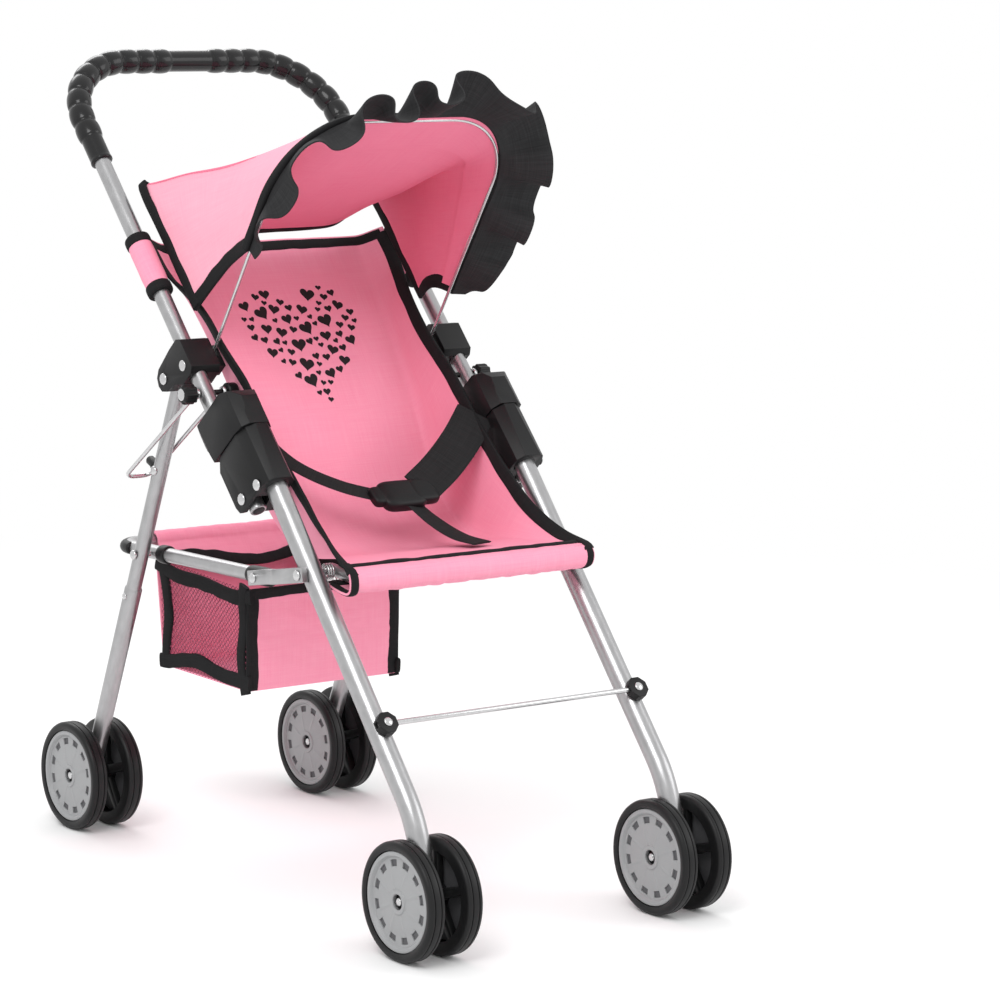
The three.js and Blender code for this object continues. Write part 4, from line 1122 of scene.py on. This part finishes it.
def hood_grid():
    """Straight lines from the back edge on the handle tubes to the arch on the bow, pulled in between them
    by sag = sin(pi v), with folds that run from back to front."""
    u, v = np.meshgrid(np.linspace(0, 1, 181), np.linspace(0, 1, 70))
    front = hood_front(u)
    bx, bt = arch(u, 102.0, 15.0, HOOD_BACK[0], HOOD_BACK[0], HOOD_BACK[1])
    # the back edge hangs between the tubes
    bt = bt - BACK_SAG * (1 - np.clip(np.abs(bx) / 101.0, 0, 1) ** 4)
    back = on_handle(bt, -10.0, bx)
    grid = back * (1 - v[..., None]) + front * v[..., None]
    outward = surface_normal(grid)
    if outward[35, 90, 2] < 0:
        outward = -outward
    top = np.clip(np.sin(math.pi * u), 0, 1)
    sag = -np.sin(math.pi * v) * (3.0 + 3.5 * top)
    folds = 1.6 * ripples(u * 3.0, v * 0.5, 31, 1.0, 4.0) * np.sin(math.pi * np.clip(v * 1.05, 0, 1))
    corner = np.exp(-(((u - 0.30) / 0.10) ** 2)) + np.exp(-(((u - 0.70) / 0.10) ** 2))
    folds += 1.5 * corner * np.sin(2 * math.pi * (2.2 * v + 6 * u)) * np.exp(-((v / 0.35) ** 2))
    # the lower edges of the sides curve up between their ends
    tuck = np.exp(-((u / 0.07) ** 2)) + np.exp(-(((1 - u) / 0.07) ** 2))
    grid = grid + outward * (sag + folds)[..., None]
    grid[..., 2] += 7.0 * tuck * np.sin(math.pi * v)
    return grid, outward


def hood():
    grid, outward = hood_grid()
    n = len(grid)
    roof = Piece("hood_cloth")
    points, faces, uv = cloth(grid, 1.2)
    top_is_front = np.sum(surface_normal(grid)[35, 90] * outward[35, 90]) > 0
    outer, inner, rim = faces if top_is_front else (faces[1], faces[0], faces[2])
    # painted light and shade: the outer face takes the lighter pink copy, the inner face the darker one
    roof.add(points, [outer, rim], PINK_TOP_PAINTED_LIGHT, uv)
    roof.materials.append(PINK_IN_PAINTED_SHADE)
    roof.faces += inner.tolist()
    roof.slots += [1] * len(inner)
    body = roof.make(HOOD_CLOTH, "canopy_fabric", slot="pink_light_cloth", sharp=60)

    # a second layer inside the front edge, and the cloth channel round the bow; the layer takes the darker
    # pink copy, painted shade
    hem = Piece("hood_hem")
    inset = grid[54:, 2:-2] - outward[54:, 2:-2] * 1.7
    hem.add(*unpack(cloth(inset, 1.2), PINK_IN_PAINTED_SHADE))
    hem = hem.make(HOOD_CLOTH, slot="pink_light_cloth", sharp=60)

    trim = Piece("hood_binding")
    front = resample(grid[-1], 3)
    trim.add(*unpack(tape(front, np.array([0.0, 0.8, -0.1]), 7.0, 4.2, 0.05, 41), TAPE))
    for column, step in ((0, 6), (-1, -7)):
        low = resample(grid[:, column], 3)
        rise = grid[n // 2, step] - grid[n // 2, column]
        trim.add(*unpack(tape(low, rise, 10.5, 3.0, 0.10, 42), TAPE))
    back = resample(grid[0], 3)
    forward = np.array([0.0, -0.5, 0.25])
    trim.add(*unpack(tape(back, forward, 9.0, 3.2, 0.10, 43), TAPE))
    trim.make(HOOD_CLOTH, slot="black_webbing", sharp=60)
    ruffle()


def ruffle():
    """A gathered band round the arch. At share w of its width a point stands out by w * width along a
    direction that turns from forward on the left, to nearly straight out at the top, to half forward on the
    right, and swings to and fro by w * swing * sin(phase) across that direction. It leans back along the arch
    by a share of sin(2 phase), which makes each fold round instead of pointed."""
    s, w = np.meshgrid(np.linspace(0, 1, 520), np.linspace(0, 1, 14), indexing="ij")
    base = hood_front(s[:, 0])
    tangent = unit(np.gradient(base, axis=0))
    forward = unit(np.array([0.0, -1.0, -BOW_LEAN]))
    out = unit(np.cross(np.broadcast_to(forward, tangent.shape), tangent))
    if out[260, 2] < 0:
        out = -out
    at = s[:, 0]
    width = np.interp(
        at, [0, 0.05, 0.14, 0.3, 0.5, 0.72, 0.9, 0.97, 1.0], [9, 17, 27, 31, 34, 38, 34, 20, 10]
    )
    lean = np.interp(at, [0, 0.2, 0.4, 0.5, 0.65, 0.85, 1.0], [1.3, 1.15, 0.6, 0.25, 0.3, 0.5, 0.6])
    phase = 2 * math.pi * (8.5 * at + 0.12 * np.sin(2 * math.pi * 2.3 * at + 0.7)) + 0.5
    swing = np.interp(at, [0, 0.08, 0.3, 0.6, 0.92, 1.0], [3, 9, 12, 14, 12, 4])
    direct = out * np.cos(lean)[:, None] + forward * np.sin(lean)[:, None]
    across = forward * np.cos(lean)[:, None] - out * np.sin(lean)[:, None]
    grid = (
        base[:, None] + direct[:, None] * (width[:, None] * w)[..., None]
        + across[:, None] * (swing * np.sin(phase))[:, None, None] * (w**0.8)[..., None]
        - tangent[:, None] * (0.38 * swing * np.sin(2 * phase))[:, None, None] * (w**1.2)[..., None]
        + across[:, None] * 2.0
    )
    piece = Piece("hood_ruffle")
    piece.add(*unpack(cloth(grid, 1.1), DENIM))
    obj = piece.make("canopy", slot="black_webbing", sharp=60)


# ---- basket ----
BX, BY0, BY1, BZ0, BZ1 = 68.0, 65.0, 184.0, 130.0, 206.0


def panel(corners, rows, columns, bow_out, seed, ripple=0.8):
    """A four-sided cloth panel: bilinear between its corners, bulged along its normal and lightly rippled."""
    a, b, c, d = (np.asarray(p, float) for p in corners)
    v, u = np.meshgrid(np.linspace(0, 1, rows), np.linspace(0, 1, columns), indexing="ij")
    u, v = u[..., None], v[..., None]
    grid = (a * (1 - u) + b * u) * (1 - v) + (d * (1 - u) + c * u) * v
    normal = surface_normal(grid)
    bulge = np.sin(math.pi * u[..., 0]) * np.sin(math.pi * v[..., 0])
    edge = np.clip(4 * bulge, 0, 1)
    waves = ripples(u[..., 0] * 2, v[..., 0] * 2, seed)
    return grid + normal * (bow_out * bulge + ripple * edge * waves)[..., None]


def across_bag(start, end, bow_out, seed):
    """A panel as wide as the bag, from one (y, z) line to another."""
    corners = [(-BX, *start), (BX, *start), (BX, *end), (-BX, *end)]
    return panel(corners, 40, 60, bow_out, seed)


def basket():
    corner = lambda x, y, z: np.array([x, y, z])
    bag = Piece("basket_cloth")
    front = across_bag((BY0, BZ1), (BY0, BZ0), 2.0, 51)
    floor = across_bag((BY0, BZ0), (BY1, BZ0), -3.0, 52)
    tail = RAIL_BACK + np.array([0.0, -4.0, -6.0])
    back = across_bag((BY1, BZ0), (tail[1], tail[2]), 1.0, 53)
    grid = np.concatenate([front, floor[1:], back[1:]])
    across = np.linspace(-BX, BX, 60)
    bag.add(*unpack(cloth(grid, 1.4), PINK))
    body = bag.make("rear_rail", "basket", slot="pink_cloth", sharp=50)

    # the sleeve goes over the tube and comes down in front of it as a flap with a wavy edge
    sleeve = Piece("basket_sleeve")
    turn = np.linspace(math.radians(-60), math.radians(180), 30)
    rolled = np.stack([
        vec(across, RAIL_BACK[1] + 7.4 * math.cos(t), RAIL_BACK[2] + 7.4 * math.sin(t)) for t in turn
    ])
    drop = np.linspace(0, 1, 12)[1:]
    wave = 16 + 4.5 * np.sin(across / 21.0 + 0.8)
    flap = np.stack([
        vec(across, RAIL_BACK[1] - 7.4 - 14 * d - 2 * d * d, RAIL_BACK[2] - wave * d) for d in drop
    ])
    whole = np.concatenate([rolled, flap])
    push = 0.7 * ripples(*np.meshgrid(across / 40, np.arange(len(whole)) / 20), 55)
    whole = whole + surface_normal(whole) * push[..., None]
    sleeve.add(*unpack(cloth(whole, 1.3), PINK))
    flap_obj = sleeve.make("rear_rail", slot="pink_cloth", sharp=60)

    nets = Piece("basket_net")
    trim = Piece("basket_binding")
    for side in (-1, 1):
        x = side * BX
        top_back, low_back = corner(x, BY1 + 6, BZ1 + 6), corner(x, BY1, BZ0)
        top_front, low_front = corner(x, BY0, BZ1), corner(x, BY0, BZ0)
        sides = panel([top_back, top_front, low_front, low_back], 40, 50, side * 1.5, 56)
        nets.add(*unpack(cloth(sides, 0.5), NET))
        centre = np.array([x, 125.0, 168.0])
        loop = [top_back, top_front, low_front, low_back]
        for k in range(4):
            a0, a1 = loop[k], loop[(k + 1) % 4]
            path = a0 + (a1 - a0) * np.linspace(-0.03, 1.03, 40)[:, None]
            dip = 4.5 * np.sin(np.linspace(0, math.pi, 40))
            dip = dip + 1.6 * np.sin(np.linspace(0, 3 * math.pi, 40) + k)
            inward = centre - (a0 + a1) / 2
            path = path + unit(inward) * dip[:, None]
            trim.add(*unpack(tape(path, inward, 11.0, 3.6, 0.10, 57 + k), TAPE))
    for column, inward in ((0, X_UP), (-1, -X_UP)):
        trim.add(*unpack(tape(resample(front[:, column], 3), inward, 10.0, 3.4, 0.12, 65), TAPE))
    path = whole[-1]
    trim.add(*unpack(tape(resample(path, 3), np.array([0.0, 0.5, 0.9]), 9.0, 3.4, 0.14, 63), TAPE))
    top = front[0]
    trim.add(*unpack(tape(resample(top, 3), np.array([0.0, 0.0, -1.0]), 8.0, 3.4, 0.10, 64), TAPE))
    nets = nets.make("rear_rail", slot="pink_cloth", sharp=60)
    trim.make("rear_rail", slot="black_webbing", sharp=60)
    pads = Piece("rail_pads")
    for side in (-1, 1):
        bend = rounded([
            np.array([side * RAIL_X, 178.0, 224.6]),
            np.array([side * RAIL_X, 201.0, 224.0]),
            np.array([side * 70.0, 201.0, 224.0]),
        ], 20.0, 12)
        outward = unit(bend - np.array([side * 70.0, 174.0, 224.3]))
        pads.add(*unpack(tube(resample(bend + outward * 3.2, 2), 4.9, Z_UP, 20, 2.0), BLACK))
    pads.make("rear_rail", slot="black_plastic")


# ---- harness ----
def strap(path, width, up, piece, thickness=1.6):
    """A flat strap along a spline, its face along up."""
    points = resample(spline(path, np.linspace(0, 1, 120)), 2.5)
    a = np.arange(16) / 16 * 2 * math.pi
    section = np.stack([squared(np.cos(a), 0.3) * width / 2, np.sin(a) * thickness / 2], 1)
    piece.add(*unpack(sweep(points, up, section), WEB))


def harness():
    web = Piece("harness_straps")
    up = unit(np.array([0.0, -0.6, 0.8]))
    strap([(-80, 40, 330), (-62, 14, 307), (-34, -6, 292), (-6, -20, 284)], 13, up, web)
    strap([(93, 2, 337), (74, -7, 320), (48, -16, 301), (26, -21, 288)], 30, up, web)
    strap([(14, -26, 280), (22, -42, 268), (30, -66, 258), (34, -88, 256.2)], 20, Z_UP, web)
    straps = web.make(SEAT_CLOTH, "harness", slot="black_webbing", sharp=50)
    buckle = Piece("buckle")
    centre = np.array([8.0, -22.0, 284.0])
    blocks = (((0, 0, 0), (19, 13, 5.5)), ((19, 0, 1.5), (12, 11, 4.6)), ((-17, 1, 0.5), (9, 8.5, 4.0)))
    a = np.linspace(-math.pi / 2, math.pi / 2, 17)
    b = np.arange(32) / 32 * 2 * math.pi
    a, b = np.meshgrid(a, b, indexing="ij")
    for offset, size in blocks:
        x = size[0] * squared(np.cos(a), 0.35) * squared(np.cos(b), 0.45)
        y = size[1] * squared(np.cos(a), 0.35) * squared(np.sin(b), 0.45)
        z = size[2] * squared(np.sin(a), 0.6)
        side = unit(np.cross(up, X_UP))
        points = centre + np.array(offset) + x[..., None] * X_UP + y[..., None] * side + z[..., None] * up
        buckle.add(points, grid_faces(17, 32, True), BLACK)
    buckle.make(SEAT_CLOTH, slot="black_plastic")


front_legs()
cross_rod()
rivets()
moulded_parts()
knobs()
push_handle()
bails()
rear_legs()
rear_rail()
seat_frame()
springs()
bow()
wheel_pair()
seat()
hood()
basket()
harness()


# ---- stage, light, camera ----
def floor_white():
    """White paper near the stroller that turns into even white light far from it, so no horizon shows."""
    s = Shader("floor_white", Roughness=0.95, Specular_IOR_Level=0.0, Emission_Strength=1.0)
    reach = s.node("ShaderNodeVectorMath", s.coords("Object", (1.0, 1.0, 0.0)), operation="LENGTH")
    far = Sock(s, reach.socket.node.outputs["Value"]).smooth(0.45, 1.5)
    s.set("Base Color", s.mix(far, rgba(0.9, 0.9, 0.9), rgba(0.0, 0.0, 0.0)))
    s.set("Emission Color", s.mix(far, rgba(0.0, 0.0, 0.0), rgba(1.0, 1.0, 1.0)))
    return s.material


def stage():
    mesh = bpy.data.meshes.new("floor")
    a = np.arange(64) / 64 * 2 * math.pi
    ring = vec(0.4 + 9 * np.cos(a), 0.6 + 9 * np.sin(a), 0.0)
    mesh.from_pydata(ring.tolist(), [], [list(range(64))])
    floor = bpy.data.objects.new("floor", mesh)
    bpy.context.scene.collection.objects.link(floor)
    mesh.materials.append(floor_white())
    world = bpy.data.worlds.new("studio")
    world.use_nodes = True
    background = world.node_tree.nodes["Background"]
    background.inputs["Color"].default_value = rgba(1.0, 1.0, 1.0)
    background.inputs["Strength"].default_value = 1.0
    bpy.context.scene.world = world
    bpy.context.scene.view_settings.view_transform = "Standard"


def area_light(name, place, target, size, power):
    data = bpy.data.lights.new(name, "AREA")
    data.shape = "RECTANGLE"
    data.size, data.size_y = size
    data.energy = power
    lamp = bpy.data.objects.new(name, data)
    place, target = np.array(place, float), np.array(target, float)
    back = unit(place - target)
    right = unit(np.cross(Z_UP, back))
    rows = np.stack([right, np.cross(back, right), back], 1)
    lamp.matrix_world = Matrix.Translation(place) @ Matrix(rows.tolist()).to_4x4()
    bpy.context.scene.collection.objects.link(lamp)


def camera():
    """Azimuth, elevation and roll in degrees, place in metres; the lens is for a 36 mm wide sensor."""
    azimuth, elevation, roll = (math.radians(v) for v in (-37.10, 8.94, 1.09))
    flat = math.cos(elevation)
    back = np.array([math.sin(azimuth) * flat, -math.cos(azimuth) * flat, math.sin(elevation)])
    right = np.array([math.cos(azimuth), math.sin(azimuth), 0.0])
    up = np.cross(back, right)
    x = math.cos(roll) * right + math.sin(roll) * up
    y = -math.sin(roll) * right + math.cos(roll) * up
    data = bpy.data.cameras.new("camera")
    data.lens, data.sensor_width = 130.22, 36.0
    data.clip_end = 100.0
    cam = bpy.data.objects.new("camera", data)
    rows = np.stack([x, y, back], 1)
    cam.matrix_world = Matrix.Translation((-1.52071, -2.16932, 0.69613)) @ Matrix(rows.tolist()).to_4x4()
    bpy.context.scene.collection.objects.link(cam)
    bpy.context.scene.camera = cam


stage()
area_light("key", (-1.6, -1.2, 2.2), (0, 0, 0.3), (1.2, 1.2), 26)
area_light("fill", (1.8, -1.6, 1.4), (0, 0, 0.3), (1.4, 1.4), 12)
area_light("rim", (0.4, 2.0, 1.8), (0, 0, 0.4), (1.6, 0.8), 14)
camera()
